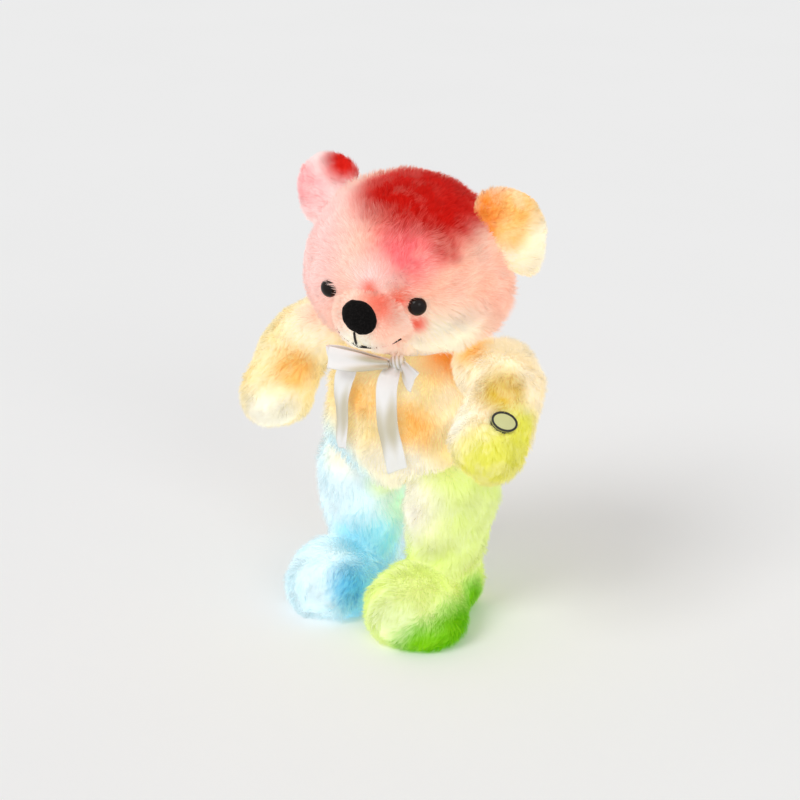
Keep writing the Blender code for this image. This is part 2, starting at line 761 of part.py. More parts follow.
def extruded(outline, thickness):
    """A flat outline in X and Y, filled and given its thickness along Z."""
    curve = bpy.data.curves.new("outline", "CURVE")
    curve.dimensions = "2D"
    curve.fill_mode = "BOTH"
    curve.extrude = thickness / 2
    spline = curve.splines.new("POLY")
    spline.points.add(len(outline) - 1)
    for index, (across, up) in enumerate(outline):
        spline.points[index].co = (across, up, 0.0, 1.0)
    spline.use_cyclic_u = True
    obj = bpy.data.objects.new("outline", curve)
    bpy.context.scene.collection.objects.link(obj)
    return evaluated_mesh(obj)


# Board, lights and leads

def build_board(kit, torso):
    middle = CASE_CENTRE_HEIGHT
    half = BOARD_WIDTH / 2
    rise = BOARD_HEIGHT / 2
    board = span_box((-half, BOARD_FRONT, middle - rise), (half, BOARD_BACK, middle + rise))
    kit.add("controller_board", board, kit.root, "board_resin")
    chip_low = Vector((-CHIP_WIDTH / 2, BOARD_FRONT - SEAT_GAP - CHIP_THICKNESS,
                       middle - CHIP_DROP - CHIP_HEIGHT / 2))
    chip = span_box(chip_low, chip_low + Vector((CHIP_WIDTH, CHIP_THICKNESS, CHIP_HEIGHT)))
    kit.add("controller_chip", chip, kit.root, "chip_resin")
    led_base = Vector((0.0, BOARD_FRONT - SEAT_GAP, middle))
    build_led(kit, "chest_light", kit.root, torso, led_base, Vector((0.0, -1.0, 0.0)))
    low = middle - CHIP_DROP
    lead = tube([(0.0, CASE_FRONT - SEAT_GAP, low), (0.0, BOARD_BACK + SEAT_GAP, low)], LEAD_RADIUS)
    kit.add("battery_lead", lead, kit.root, "lead_vinyl")


def build_led(kit, name, owner, carrier, base, aim):
    """A round light with its base at one point, in a snug space cut from what carries it."""
    dome = []
    for step in range(LED_DOME_STEPS + 1):
        angle = math.pi / 2 * step / LED_DOME_STEPS
        dome.append((LED_RADIUS * math.sin(angle), LED_LENGTH - LED_RADIUS + LED_RADIUS * math.cos(angle)))
    dome[0] = (0.0, LED_LENGTH)
    rim = [(LED_RADIUS, LED_RIM_HEIGHT), (LED_RIM_RADIUS, LED_RIM_HEIGHT), (LED_RIM_RADIUS, 0.0), (0.0, 0.0)]
    profile = dome + rim
    kit.add(name, turned(profile, SMALL_STEPS), owner, "led_resin", base, along(aim))
    space = cylinder(LED_RIM_RADIUS + SEAT_GAP, -SEAT_GAP - CHIP_THICKNESS, LED_LENGTH + SEAT_GAP,
                     SMALL_STEPS)
    cut(carrier, kit.tool(name + "_space", space, owner, base, along(aim)))


def build_lead(kit, name, owner, carrier, stations, radius=LEAD_RADIUS):
    """A covered lead through its carrier, straight at both ends, in a tunnel that runs past them."""
    path = [Vector(station) for station in stations]
    if len(path) > 3:
        path = smooth_path(path, straight_ends=True)
    kit.add(name, tube(path, radius), owner, "lead_vinyl")
    start = path[0] + (path[0] - path[1]).normalized() * radius
    end = path[-1] + (path[-1] - path[-2]).normalized() * radius
    tunnel = tube([start] + path[1:-1] + [end], radius + LEAD_CLEARANCE)
    cut(carrier, kit.tool(name + "_tunnel", tunnel, owner))


def shoulder_gate(side):
    """The way from the shoulder's centre to where the lead crosses from torso to arm."""
    return Vector((-side * math.sin(GATE_ANGLE), 0.0, -math.cos(GATE_ANGLE)))


def build_torso_leads(kit, torso):
    pad = BOARD_FRONT - SEAT_GAP
    middle = CASE_CENTRE_HEIGHT
    high = middle + PAD_RISE
    low = middle - PAD_RISE
    for side, word in ((1, "left"), (-1, "right")):
        gate = shoulder(side) + shoulder_gate(side) * (SHOULDER_RADIUS + JOINT_GAP + SEAT_GAP)
        behind = gate + shoulder_gate(side) * LEAD_RUN
        bend = Vector((side * PAD_SIDE, pad - LEAD_RUN, high))
        build_lead(kit, word + "_shoulder_lead", kit.root, torso,
                   [(side * PAD_SIDE, pad, high), bend, (behind + bend) / 2, behind, gate])
        top = hip(side) + Vector((0.0, 0.0, HIP_RADIUS + SWEEP_GAP + SEAT_GAP))
        above = top + Vector((0.0, 0.0, LEAD_RUN))
        crest = max(low, above.z)
        build_lead(kit, word + "_hip_lead", kit.root, torso,
                   [(side * PAD_SIDE, pad, low), (side * PAD_SIDE, pad - LEAD_RUN, low),
                    (side * (PAD_SIDE + HIP_SIDE) / 2, pad / 2, crest), above, top])
    build_lead(kit, "neck_lead", kit.root, torso,
               [(0.0, pad, high), (0.0, pad - LEAD_RUN, high), (0.0, pad / 3, NECK_ROOT + LEAD_RUN),
                (0.0, 0.0, NECK_TOP - 2 * LEAD_RUN), (0.0, 0.0, NECK_TOP - SEAT_GAP)])


# Head and what it carries

def ellipsoid_point(size, across, drop):
    """Place and outward normal on an ellipsoid, at angles to the left of, and below, straight ahead."""
    aim = Vector((math.sin(across) * math.cos(drop), -math.cos(across) * math.cos(drop), -math.sin(drop)))
    half = Vector(size) / 2
    reach = 1.0 / math.sqrt(sum((aim[axis] / half[axis]) ** 2 for axis in range(3)))
    place = aim * reach
    normal = Vector([place[axis] / half[axis] ** 2 for axis in range(3)]).normalized()
    return place, normal


HEAD_SIZE = (HEAD_WIDTH, HEAD_DEPTH, HEAD_HEIGHT)
MUZZLE_SIZE = (MUZZLE_WIDTH, MUZZLE_DEPTH, MUZZLE_HEIGHT)
MUZZLE_PLACE = Vector((0.0, -MUZZLE_FORWARD, -MUZZLE_DROP))


def head_form(growth=0.0):
    """The stuffed head: an ellipsoid, fuller at the cheeks and narrower at the brow."""
    mesh = ball(*[size + 2 * growth for size in HEAD_SIZE], HEAD_SEGMENTS, HEAD_RINGS)
    for vertex in mesh.vertices:
        lift = vertex.co.z / (HEAD_HEIGHT / 2)
        vertex.co.x *= 1.0 - CHEEK_SHARE * lift
    return mesh


def build_head(kit):
    turn_axis = kit.empty("head_turn_axis", kit.root, Vector((0.0, 0.0, NECK_TOP)))
    pose = kit.empty("head_pose", turn_axis, Vector((0.0, -HEAD_FORWARD, HEAD_CENTRE_HEIGHT - NECK_TOP)),
                     (0.0, HEAD_TILT, HEAD_TURN))
    head = kit.add("head", head_form(), pose, "plush_head")
    recess = cylinder(HEAD_RECESS_RADIUS, -HEAD_HEIGHT, JOINT_GAP, TORSO_FACETS)
    cut(head, kit.tool("neck_recess", recess, turn_axis))
    light_base = Vector((0.0, 0.0, HEAD_CENTRE_HEIGHT - NECK_TOP))
    build_led(kit, "head_light", turn_axis, head, light_base, Vector((0.0, 0.0, 1.0)))
    build_lead(kit, "head_lead", turn_axis, head,
               [(0.0, 0.0, JOINT_GAP + SEAT_GAP), (0.0, 0.0, light_base.z / 2),
                light_base - Vector((0.0, 0.0, SEAT_GAP))])
    muzzle = kit.add("muzzle", ball(*MUZZLE_SIZE), pose, "plush_muzzle", MUZZLE_PLACE)
    cut(muzzle, kit.tool("head_in_muzzle", head_form(SEAT_GAP), pose))
    build_ears(kit, pose)
    build_eyes(kit, pose, head)
    build_nose(kit, pose, muzzle)
    build_mouth(kit, pose)
    return turn_axis


def build_ears(kit, pose):
    for side, word in ((1, "left"), (-1, "right")):
        place = Vector((side * EAR_SIDE, EAR_BACK, EAR_RISE))
        turn = Matrix.Rotation(side * EAR_SPLAY, 4, "Z") @ Matrix.Rotation(side * EAR_LEAN, 4, "Y")
        quaternion = turn.to_quaternion()
        form = ball(EAR_WIDTH, EAR_THICKNESS, EAR_HEIGHT)
        ear = kit.add(word + "_ear", form, pose, "plush_ear", place, quaternion)
        cup = ball(EAR_WIDTH * EAR_CUP_SHARE, 2 * EAR_CUP_DEPTH, EAR_HEIGHT * EAR_CUP_SHARE)
        cup_place = place + quaternion @ Vector((0.0, -EAR_THICKNESS / 2, 0.0))
        cut(ear, kit.tool(word + "_ear_cup", cup, pose, cup_place, quaternion))
        cut(ear, kit.tool("head_in_" + word + "_ear", head_form(SEAT_GAP), pose))


def washer_mesh():
    hole = STEM_RADIUS + SEAT_GAP
    half = WASHER_THICKNESS / 2
    profile = [(hole, half), (WASHER_RADIUS, half), (WASHER_RADIUS, -half), (hole, -half)]
    return turned(profile, SMALL_STEPS, closed=True)


def stem_space_mesh():
    """The way cut for a stem and its washer, from above the surface inwards, about Z."""
    stem = STEM_RADIUS + SEAT_GAP
    wide = WASHER_RADIUS + SEAT_GAP
    high = WASHER_THICKNESS / 2 + SEAT_GAP - WASHER_DEPTH
    low = -WASHER_THICKNESS / 2 - SEAT_GAP - WASHER_DEPTH
    end = -STEM_LENGTH - SEAT_GAP
    return turned([(0.0, CUT_OVERRUN), (stem, CUT_OVERRUN), (stem, high), (wide, high), (wide, low),
                   (stem, low), (stem, end), (0.0, end)], SMALL_STEPS)


def domed_stud(radius, bulge):
    """A dome with its flat back on the surface and a stem behind it, about Z."""
    dome = []
    for step in range(DOME_STEPS + 1):
        angle = math.pi / 2 * step / DOME_STEPS
        dome.append((radius * math.sin(angle), SEAT_GAP + bulge * math.cos(angle)))
    dome[0] = (0.0, SEAT_GAP + bulge)
    return turned(dome + [(STEM_RADIUS, SEAT_GAP), (STEM_RADIUS, -STEM_LENGTH), (0.0, -STEM_LENGTH)])


def build_eyes(kit, pose, head):
    for side, word in ((1, "left"), (-1, "right")):
        place, normal = ellipsoid_point(HEAD_SIZE, side * EYE_ANGLE, EYE_DROP_ANGLE)
        turn = along(normal)
        kit.add(word + "_eye", domed_stud(EYE_DIAMETER / 2, EYE_BULGE), pose, "eye_plastic", place, turn)
        washer_place = place - normal * WASHER_DEPTH
        kit.add(word + "_eye_washer", washer_mesh(), pose, "washer_plastic", washer_place, turn)
        cut(head, kit.tool(word + "_eye_space", stem_space_mesh(), pose, place, turn))


def build_nose(kit, pose, muzzle):
    place, normal = ellipsoid_point(MUZZLE_SIZE, 0.0, -NOSE_RISE_ANGLE)
    place = place + MUZZLE_PLACE
    turn = along(normal)
    pad = ball(NOSE_WIDTH, NOSE_HEIGHT, NOSE_DEPTH)
    nose = kit.add("nose", pad, pose, "nose_flock", place, turn)
    face = ball(*[size + 2 * SEAT_GAP for size in MUZZLE_SIZE])
    cut(nose, kit.tool("muzzle_in_nose", face, pose, MUZZLE_PLACE))
    stem = cylinder(STEM_RADIUS, -STEM_LENGTH, NOSE_DEPTH / 4, SMALL_STEPS)
    join(nose, kit.tool("nose_stem", stem, pose, place, turn))
    kit.add("nose_washer", washer_mesh(), pose, "washer_plastic", place - normal * WASHER_DEPTH, turn)
    cut(muzzle, kit.tool("nose_space", stem_space_mesh(), pose, place, turn))


def build_mouth(kit, pose):
    """The thread from nose to lip, and the smile under it, laid on the muzzle's surface."""
    lift = THREAD_RADIUS + SEAT_GAP
    size = [length + 2 * lift for length in MUZZLE_SIZE]

    def on_muzzle(across, drop):
        return ellipsoid_point(size, across, drop)[0] + MUZZLE_PLACE

    straight = [on_muzzle(0.0, STITCH_TOP_ANGLE + (SMILE_DROP_ANGLE - STITCH_TOP_ANGLE) * step / STITCH_STEPS)
                for step in range(STITCH_STEPS + 1)]
    half_angle = math.asin(SMILE_WIDTH / MUZZLE_WIDTH)
    smile = []
    for step in range(SMILE_STEPS + 1):
        share = 2 * step / SMILE_STEPS - 1
        smile.append(on_muzzle(half_angle * share, SMILE_DROP_ANGLE - half_angle / 3 * share ** 2))
    mouth = kit.add("mouth_stitch", tube(smile, THREAD_RADIUS), pose, "thread")
    join(mouth, kit.tool("centre_stitch", tube(straight, THREAD_RADIUS), pose))


# Arms

ARM_JOINTS = {
    1: ((LEFT_ELBOW_OUT, LEFT_ELBOW_FORWARD, LEFT_ELBOW_DROP),
        (LEFT_PAW_OUT, LEFT_PAW_FORWARD, LEFT_PAW_DROP)),
    -1: ((RIGHT_ELBOW_OUT, RIGHT_ELBOW_FORWARD, RIGHT_ELBOW_DROP),
         (RIGHT_PAW_OUT, RIGHT_PAW_FORWARD, RIGHT_PAW_DROP)),
}


def arm_point(side, index):
    out, forward, drop = ARM_JOINTS[side][index]
    return mirrored(side, out, forward, -drop)


def build_arm(kit, side, word):
    axis = kit.empty(word + "_shoulder_axis", kit.root, shoulder(side))
    elbow = arm_point(side, 0)
    paw = arm_point(side, 1)
    mesh = limb_mesh([Vector((0.0, 0.0, 0.0)), elbow, paw], [SHOULDER_RADIUS, ELBOW_RADIUS, PAW_RADIUS])
    arm = kit.add(word + "_arm", mesh, axis, "plush_arm")
    gate = shoulder_gate(side) * (SHOULDER_RADIUS - SEAT_GAP)
    light_aim = elbow.normalized()
    light_base = elbow * LIGHT_SHARE
    build_lead(kit, word + "_arm_lead", axis, arm,
               [gate, gate * ARM_LEAD_SHARE, (gate + light_base) * BEND_SHARE, light_base * ARM_LEAD_SHARE,
                light_base - light_aim * SEAT_GAP])
    build_led(kit, word + "_arm_light", axis, arm, light_base, light_aim)
    return axis, arm


def build_switch(kit, axis, arm):
    """The push switch under the oval press patch, on its own sliding axis."""
    elbow = arm_point(1, 0)
    paw = arm_point(1, 1)
    aim = Vector(SWITCH_AIM).normalized()
    middle = elbow + (paw - elbow) * SWITCH_SHARE
    forearm = (paw - elbow).normalized()
    aim = (aim - forearm * aim.dot(forearm)).normalized()
    reach = ELBOW_RADIUS + (PAW_RADIUS - ELBOW_RADIUS) * SWITCH_SHARE
    surface = middle + aim * reach
    turn = along(aim)
    flat = turn.inverted() @ forearm
    spin = math.atan2(flat.y, flat.x) + PATCH_SPIN
    patch_turn = turn @ Matrix.Rotation(spin, 4, "Z").to_quaternion()
    slide = kit.empty("press_axis", axis, surface)
    patch = cylinder(1.0, 0.0, PATCH_THICKNESS)
    patch.transform(Matrix.Diagonal((PATCH_LENGTH / 2, PATCH_WIDTH / 2, 1.0, 1.0)))
    kit.add("press_patch", patch, slide, "patch_vinyl", None, patch_turn)
    well_depth = SWITCH_TRAVEL + SEAT_GAP
    well = cylinder(1.0, -well_depth, 2 * CUT_OVERRUN)
    well.transform(Matrix.Diagonal((PATCH_LENGTH / 2 + SEAT_GAP, PATCH_WIDTH / 2 + SEAT_GAP, 1.0, 1.0)))
    cut(arm, kit.tool("patch_well", well, axis, surface, patch_turn))
    housing_top = -well_depth
    housing_base = housing_top - HOUSING_HEIGHT
    inner = FLANGE_RADIUS + SEAT_GAP
    mouth = PLUNGER_RADIUS + SEAT_GAP
    lip = housing_top - HOUSING_WALL
    floor = housing_base + HOUSING_WALL
    housing = turned([(mouth, housing_top), (HOUSING_RADIUS, housing_top), (HOUSING_RADIUS, housing_base),
                      (0.0, housing_base), (0.0, floor), (inner, floor), (inner, lip), (mouth, lip)],
                     closed=True)
    kit.add("switch_housing", housing, axis, "switch_plastic", surface, turn)
    space = cylinder(HOUSING_RADIUS + SEAT_GAP, housing_base - SEAT_GAP, CUT_OVERRUN - well_depth)
    cut(arm, kit.tool("switch_space", space, axis, surface, turn))
    flange_top = lip - SEAT_GAP
    flange_base = flange_top - FLANGE_THICKNESS
    plunger = turned([(0.0, -SEAT_GAP), (PLUNGER_RADIUS, -SEAT_GAP), (PLUNGER_RADIUS, flange_top),
                      (FLANGE_RADIUS, flange_top), (FLANGE_RADIUS, flange_base), (0.0, flange_base)])
    kit.add("switch_plunger", plunger, slide, "switch_plastic", None, turn)
    spring = coil(SWITCH_SPRING_RADIUS, SWITCH_SPRING_WIRE, floor + SEAT_GAP, flange_base - SEAT_GAP,
                  SWITCH_SPRING_TURNS)
    kit.add("switch_spring", spring, axis, "spring_steel", surface, turn)
    build_switch_lead(kit, axis, arm, surface + aim * (housing_base + HOUSING_HEIGHT / 2), elbow, aim)


def build_switch_lead(kit, axis, arm, housing_middle, elbow, aim):
    """A thin lead from beside the arm's lead to the housing's side."""
    start = elbow * LIGHT_SHARE * ARM_LEAD_SHARE
    towards = housing_middle - start
    towards = (towards - aim * towards.dot(aim)).normalized()
    side_point = housing_middle - towards * (HOUSING_RADIUS + SEAT_GAP)
    before = side_point - towards * LEAD_RUN / 2
    away = before - start
    away = (away - elbow * away.dot(elbow) / elbow.length_squared).normalized()
    begin = start + away * (LEAD_RADIUS + SWITCH_LEAD_RADIUS + SEAT_GAP)
    after = begin + away * LEAD_RUN / 4
    build_lead(kit, "switch_lead", axis, arm, [begin, after, before, side_point], SWITCH_LEAD_RADIUS)


# Legs

def build_leg(kit, side, word, material):
    axis = kit.empty(word + "_hip_axis", kit.root, hip(side))
    leg = kit.add(word + "_leg", thigh_mesh(), axis, material)
    toe_place = Vector((0.0, -TOE_FORWARD, TOE_CENTRE_HEIGHT - HIP_HEIGHT))
    heel_place = Vector((0.0, HEEL_BACK, HEEL_CENTRE_HEIGHT - HIP_HEIGHT))
    join(leg, kit.tool(word + "_foot", foot_mesh(toe_place, heel_place), axis))
    floor = span_box((-HIP_SIDE, -HIP_HEIGHT, -2 * HIP_HEIGHT), (HIP_SIDE, HIP_HEIGHT, -HIP_HEIGHT))
    cut(leg, kit.tool(word + "_floor", floor, axis))
    crown = Vector((0.0, 0.0, HIP_RADIUS - SEAT_GAP))
    light_base = Vector((0.0, 0.0, -HIP_RADIUS))
    build_lead(kit, word + "_leg_lead", axis, leg,
               [crown, Vector((0.0, 0.0, 0.0)), light_base + Vector((0.0, 0.0, SEAT_GAP))])
    build_led(kit, word + "_leg_light", axis, leg, light_base, Vector((0.0, 0.0, -1.0)))


def foot_mesh(toe_place, heel_place):
    """The stuffed foot, full from heel to toe."""
    heel = [vertex.co + heel_place for vertex in ball(HEEL_WIDTH, HEEL_LENGTH, HEEL_HEIGHT).vertices]
    toe = [vertex.co + toe_place for vertex in ball(TOE_WIDTH, TOE_LENGTH, TOE_HEIGHT).vertices]
    return hull_mesh("foot", heel + toe)


# Ribbon

def strip_mesh(line, width, thickness, wide_way):
    """A flat strip of ribbon along a line, as wide as stated along wide_way."""
    across = Vector(wide_way).normalized() * width / 2
    mesh = bpy.data.meshes.new("strip")
    points = []
    for point in line:
        points += [point - across, point + across]
    faces = [(2 * index, 2 * index + 1, 2 * index + 3, 2 * index + 2) for index in range(len(line) - 1)]
    mesh.from_pydata(points, [], faces)
    obj = bpy.data.objects.new("strip", mesh)
    bpy.context.scene.collection.objects.link(obj)
    shell = obj.modifiers.new("cloth", "SOLIDIFY")
    shell.thickness = thickness
    shell.offset = 0.0
    return evaluated_mesh(obj)


def knot_place():
    radius = NECK_RADIUS + 2 * SEAT_GAP + RIBBON_THICKNESS + KNOT_THICKNESS / 2
    return Vector((radius * math.sin(KNOT_ANGLE), -radius * math.cos(KNOT_ANGLE), BAND_TOP - KNOT_DROP))


def build_ribbon(kit):
    inner = NECK_RADIUS + SEAT_GAP
    outer = inner + RIBBON_THICKNESS
    base = BAND_TOP - BAND_HEIGHT
    kit.add("ribbon_band", turned([(inner, BAND_TOP), (outer, BAND_TOP), (outer, base), (inner, base)],
                                  TORSO_FACETS, closed=True), kit.root, "satin")
    centre = knot_place()
    facing = Matrix.Rotation(KNOT_ANGLE, 4, "Z")
    knot = ball(KNOT_WIDTH, KNOT_THICKNESS, KNOT_HEIGHT, SMALL_STEPS, KNOT_RINGS)
    kit.add("ribbon_knot", knot, kit.root, "satin", centre, facing.to_quaternion())
    for side, word, reach in ((1, "left", LEFT_LOOP_REACH), (-1, "right", RIGHT_LOOP_REACH)):
        build_loop(kit, word, centre, facing, side, reach)
    build_tail(kit, "left", centre, LEFT_TAIL_ANGLE, LEFT_TAIL_LENGTH)
    build_tail(kit, "right", centre, RIGHT_TAIL_ANGLE, RIGHT_TAIL_LENGTH)


def build_loop(kit, word, centre, facing, side, reach):
    """A folded loop beside the knot: out along the front and back behind it."""
    depth_share = (LOOP_OPENING - RIBBON_THICKNESS) / KNOT_THICKNESS
    start = KNOT_WIDTH / 2 * math.sqrt(1 - depth_share ** 2) + SEAT_GAP
    line = []
    for step in range(LOOP_STEPS + 1):
        angle = math.pi * (step / LOOP_STEPS - 1 / 2)
        out = start + reach * math.cos(angle)
        depth = LOOP_OPENING / 2 * math.sin(angle)
        line.append(centre + facing.to_3x3() @ Vector((side * out, depth, 0.0)))
    loop = strip_mesh(line, LOOP_WIDTH, RIBBON_THICKNESS, (0.0, 0.0, 1.0))
    kit.add(word + "_loop", loop, kit.root, "satin")


def build_tail(kit, word, centre, angle, length):
    """A tail that hangs from the knot or the loop's end and lies down the chest."""
    top = centre.z - LOOP_WIDTH / 2 - SEAT_GAP
    line = []
    for step in range(TAIL_STEPS + 1):
        height = top - length * step / TAIL_STEPS
        surface = torso_front(angle, min(height, TORSO_SHOULDER))
        reach = max(surface.xy.length, NECK_RADIUS) + RIBBON_THICKNESS + TAIL_LIFT
        line.append(Vector((reach * math.sin(angle), -reach * math.cos(angle), height)))
    wide_way = Vector((math.cos(angle), math.sin(angle), 0.0))
    kit.add(word + "_tail", strip_mesh(line, RIBBON_WIDTH, RIBBON_THICKNESS, wide_way), kit.root, "satin")


# Assembly

def stand_on_origin(kit):
    """Moves the whole bear so that its box is centred over the origin."""
    bpy.context.view_layer.update()
    graph = bpy.context.evaluated_depsgraph_get()
    lows = [math.inf] * 2
    highs = [-math.inf] * 2
    for obj in kit.parts.objects:
        if obj.type != "MESH":
            continue
        shown = obj.evaluated_get(graph)
        mesh = shown.to_mesh()
        for vertex in mesh.vertices:
            place = shown.matrix_world @ vertex.co
            for axis in range(2):
                lows[axis] = min(lows[axis], place[axis])
                highs[axis] = max(highs[axis], place[axis])
        shown.to_mesh_clear()
    kit.root.location = (-(lows[0] + highs[0]) / 2, -(lows[1] + highs[1]) / 2, 0.0)
    bpy.context.view_layer.update()


def main():
    clear_scene()
    kit = Builder()
    torso = build_torso(kit)
    build_pocket(kit, torso)
    build_battery(kit)
    build_zip(kit)
    build_board(kit, torso)
    build_torso_leads(kit, torso)
    build_ribbon(kit)
    build_head(kit)
    left_axis, left_arm = build_arm(kit, 1, "left")
    build_switch(kit, left_axis, left_arm)
    build_arm(kit, -1, "right")
    build_leg(kit, 1, "left", "plush_leg_green")
    build_leg(kit, -1, "right", "plush_leg_blue")
    stand_on_origin(kit)
    return kit


if __name__ == "__main__":
    main()
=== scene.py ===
"""Plush bear night light: skins, long pile, bow, face, patch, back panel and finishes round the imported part."""

import json
import math

import bmesh
import bpy
import numpy as np
from bpy.props import FloatProperty, FloatVectorProperty, IntProperty, PointerProperty
from mathutils import Matrix, Vector
from mathutils.bvhtree import BVHTree
from mathutils.kdtree import KDTree


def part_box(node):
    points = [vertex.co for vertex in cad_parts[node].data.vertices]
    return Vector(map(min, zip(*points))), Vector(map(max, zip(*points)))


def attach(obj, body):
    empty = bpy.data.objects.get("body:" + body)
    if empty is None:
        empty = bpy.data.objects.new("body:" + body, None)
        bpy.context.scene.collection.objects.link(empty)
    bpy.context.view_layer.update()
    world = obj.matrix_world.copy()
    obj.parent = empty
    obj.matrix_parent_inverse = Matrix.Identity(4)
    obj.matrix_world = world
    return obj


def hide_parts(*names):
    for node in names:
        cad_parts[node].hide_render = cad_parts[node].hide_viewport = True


bl_info = {
    "name": "Plush Bear Night Light",
    "version": (1, 0, 0),
    "blender": (4, 5, 0),
    "location": "View3D > Sidebar > Night Light",
    "description": "Builds the looks of a standing plush bear that glows from inside",
    "category": "Object",
}

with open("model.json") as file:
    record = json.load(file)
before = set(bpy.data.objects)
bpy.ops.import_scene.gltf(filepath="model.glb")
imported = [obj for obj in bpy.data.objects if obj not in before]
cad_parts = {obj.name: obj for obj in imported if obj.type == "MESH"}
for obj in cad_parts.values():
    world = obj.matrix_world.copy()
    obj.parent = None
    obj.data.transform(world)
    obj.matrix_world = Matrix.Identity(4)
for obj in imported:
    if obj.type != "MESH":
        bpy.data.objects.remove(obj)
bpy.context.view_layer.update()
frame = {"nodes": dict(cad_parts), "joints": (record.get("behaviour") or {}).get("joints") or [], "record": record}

# Shared places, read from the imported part

JOINT_PLACES = {joint["name"]: joint.get("pos_m") for joint in frame["joints"]}
BODY_OF = {node: body for body, nodes in frame["record"]["behaviour"]["bodies"].items() for node in nodes}
SLOT_OF = {part["node"]: part["material_slot"] for part in frame["record"]["subparts"]}


def middle(node):
    low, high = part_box(node)
    return (Vector(low) + Vector(high)) / 2


def poles(node):
    """The two points on a turned piece's axis, where the most triangles meet."""
    seen = {}
    for vertex in frame["nodes"][node].data.vertices:
        key = tuple(round(value, 6) for value in vertex.co)
        seen[key] = seen.get(key, 0) + 1
    ranked = sorted(seen, key=seen.get, reverse=True)
    return Vector(ranked[0]), Vector(ranked[1])


def own_axes(node, outward):
    """Half lengths, turn and centre of a flat, even piece, its thin way turned outward."""
    places = np.unique(np.round([tuple(vertex.co) for vertex in frame["nodes"][node].data.vertices], 6), axis=0)
    centre = places.mean(axis=0)
    ways = np.linalg.svd(places - centre)[2]
    long_way, thin = Vector(ways[0]), Vector(ways[2])
    if thin.dot(outward) < 0:
        thin = -thin
    wide = thin.cross(long_way)
    reaches = [abs((places - centre) @ np.array(way)).max() for way in (long_way, wide, thin)]
    turn = Matrix((long_way, wide, thin)).transposed().to_4x4()
    return (*reaches, turn, Vector(centre))


NECK = Vector(JOINT_PLACES["head_turn"])
PRESS_AXIS = -Vector(next(joint["axis"] for joint in frame["joints"] if joint["name"] == "press_button"))
HEAD = middle("head")
NOSE = middle("nose")


# Sizes and colours that a user can change

def metres(name, description, value):
    return FloatProperty(name=name, description=description, default=value, unit="LENGTH")


class BearSizes(bpy.types.PropertyGroup):
    pile: metres("Pile", "Length of the long pile", 0.0125)
    short_pile: metres("Short pile", "Length of the muzzle's pile", 0.0045)
    hair: metres("Hair width", "Width of one hair at its root", 0.00055)
    voxel: metres("Skin voxel", "Cell size when a skin is remeshed", 0.0035)
    seed: IntProperty(name="Seed", description="Start of the random numbers", default=11)
    ribbon: metres("Ribbon width", "Width of the satin ribbon", 0.0215)
    patch_rim: metres("Patch rim", "Thickness of the stitched rim", 0.0011)


def colour(name, description, value):
    return FloatVectorProperty(name=name, description=description, default=value, subtype="COLOR", size=3,
                               min=0.0, max=1.0)


# Most of these colours are painted light: the pile is white, and they stand for the colours that the lamps inside
# light it in. Satin and black are the ribbon's and the face's own colours.
class BearColours(bpy.types.PropertyGroup):
    cream: colour("Cream", "Torso pile", (0.96, 0.84, 0.50))
    pearl: colour("Pearl", "Palest pile, at the crotch, the cheeks and the paws", (0.97, 0.94, 0.82))
    peach: colour("Peach", "Head pile", (0.97, 0.68, 0.55))
    blush: colour("Blush", "Side of the head away from the lamp", (0.97, 0.75, 0.72))
    pink: colour("Pink", "Brow", (0.93, 0.30, 0.32))
    red: colour("Red", "Crown lit from inside", (0.70, 0.012, 0.006))
    coral: colour("Coral", "Round the eye and above the nose", (0.92, 0.25, 0.17))
    ivory: colour("Ivory", "Left arm and ear", (0.98, 0.89, 0.69))
    orange: colour("Orange", "Left ear's inside and the neck", (0.92, 0.38, 0.06))
    amber: colour("Amber", "Arms and chest", (0.96, 0.64, 0.20))
    olive: colour("Olive", "Left forearm beside the patch", (0.80, 0.60, 0.08))
    lemon: colour("Lemon", "Left paw", (0.83, 0.82, 0.14))
    sky: colour("Sky", "Right thigh and foot", (0.79, 0.93, 0.97))
    blue: colour("Blue", "Right shin", (0.42, 0.82, 0.93))
    azure: colour("Azure", "Right foot lit from inside", (0.15, 0.58, 0.78))
    mint: colour("Mint", "Inside of the right thigh", (0.74, 0.94, 0.82))
    lime: colour("Lime", "Left leg", (0.82, 0.91, 0.36))
    leaf: colour("Leaf", "Toe of the left foot", (0.86, 0.94, 0.56))
    green: colour("Green", "Left foot lit from inside", (0.26, 0.66, 0.004))
    satin: colour("Satin", "Ribbon", (0.95, 0.945, 0.935))
    black: colour("Black", "Nose, eyes and rim", (0.003, 0.0025, 0.0025))


def sizes():
    return bpy.context.scene.bear_sizes


def shades():
    return bpy.context.scene.bear_colours


# Material helpers

NOISE_DETAIL = 3.0
SPOT_GRAIN = 55.0
# Painted glow: the pile and skin give off their painted colours as light, standing in for the lamps inside.
GLOW = 0.31
# Painted light along each hair: colour deeper and darker toward the root, paler toward the tip.
ROOT_DEPTH = 0.42
TIP_PALENESS = 0.6
TIP_GAMMA = 0.8
# Painted shade on the skin under the pile.
BACKING_PAINTED_SHADE = (0.80, 0.76, 0.72)


def new_material(name):
    material = bpy.data.materials.new(name)
    material.use_nodes = True
    return material, material.node_tree, material.node_tree.nodes["Principled BSDF"]


def feed(node, inputs):
    """Gives a node's inputs their numbers and colours, or another node's output."""
    for name, value in inputs.items():
        socket = node.inputs[name]
        if hasattr(value, "links"):
            node.id_data.links.new(value, socket)
        else:
            socket.default_value = (*value, 1.0) if socket.type == "RGBA" else value


def shader_node(tree, kind, inputs, **settings):
    node = tree.nodes.new("ShaderNode" + kind)
    for name, value in settings.items():
        setattr(node, name, value)
    feed(node, inputs)
    return node


def object_place(tree):
    return tree.nodes.new("ShaderNodeTexCoord").outputs["Object"]


def attribute(tree, name):
    return shader_node(tree, "Attribute", {}, attribute_name=name).outputs["Fac"]


def cloth_place(tree):
    return shader_node(tree, "UVMap", {}, uv_map="cloth").outputs["UV"]


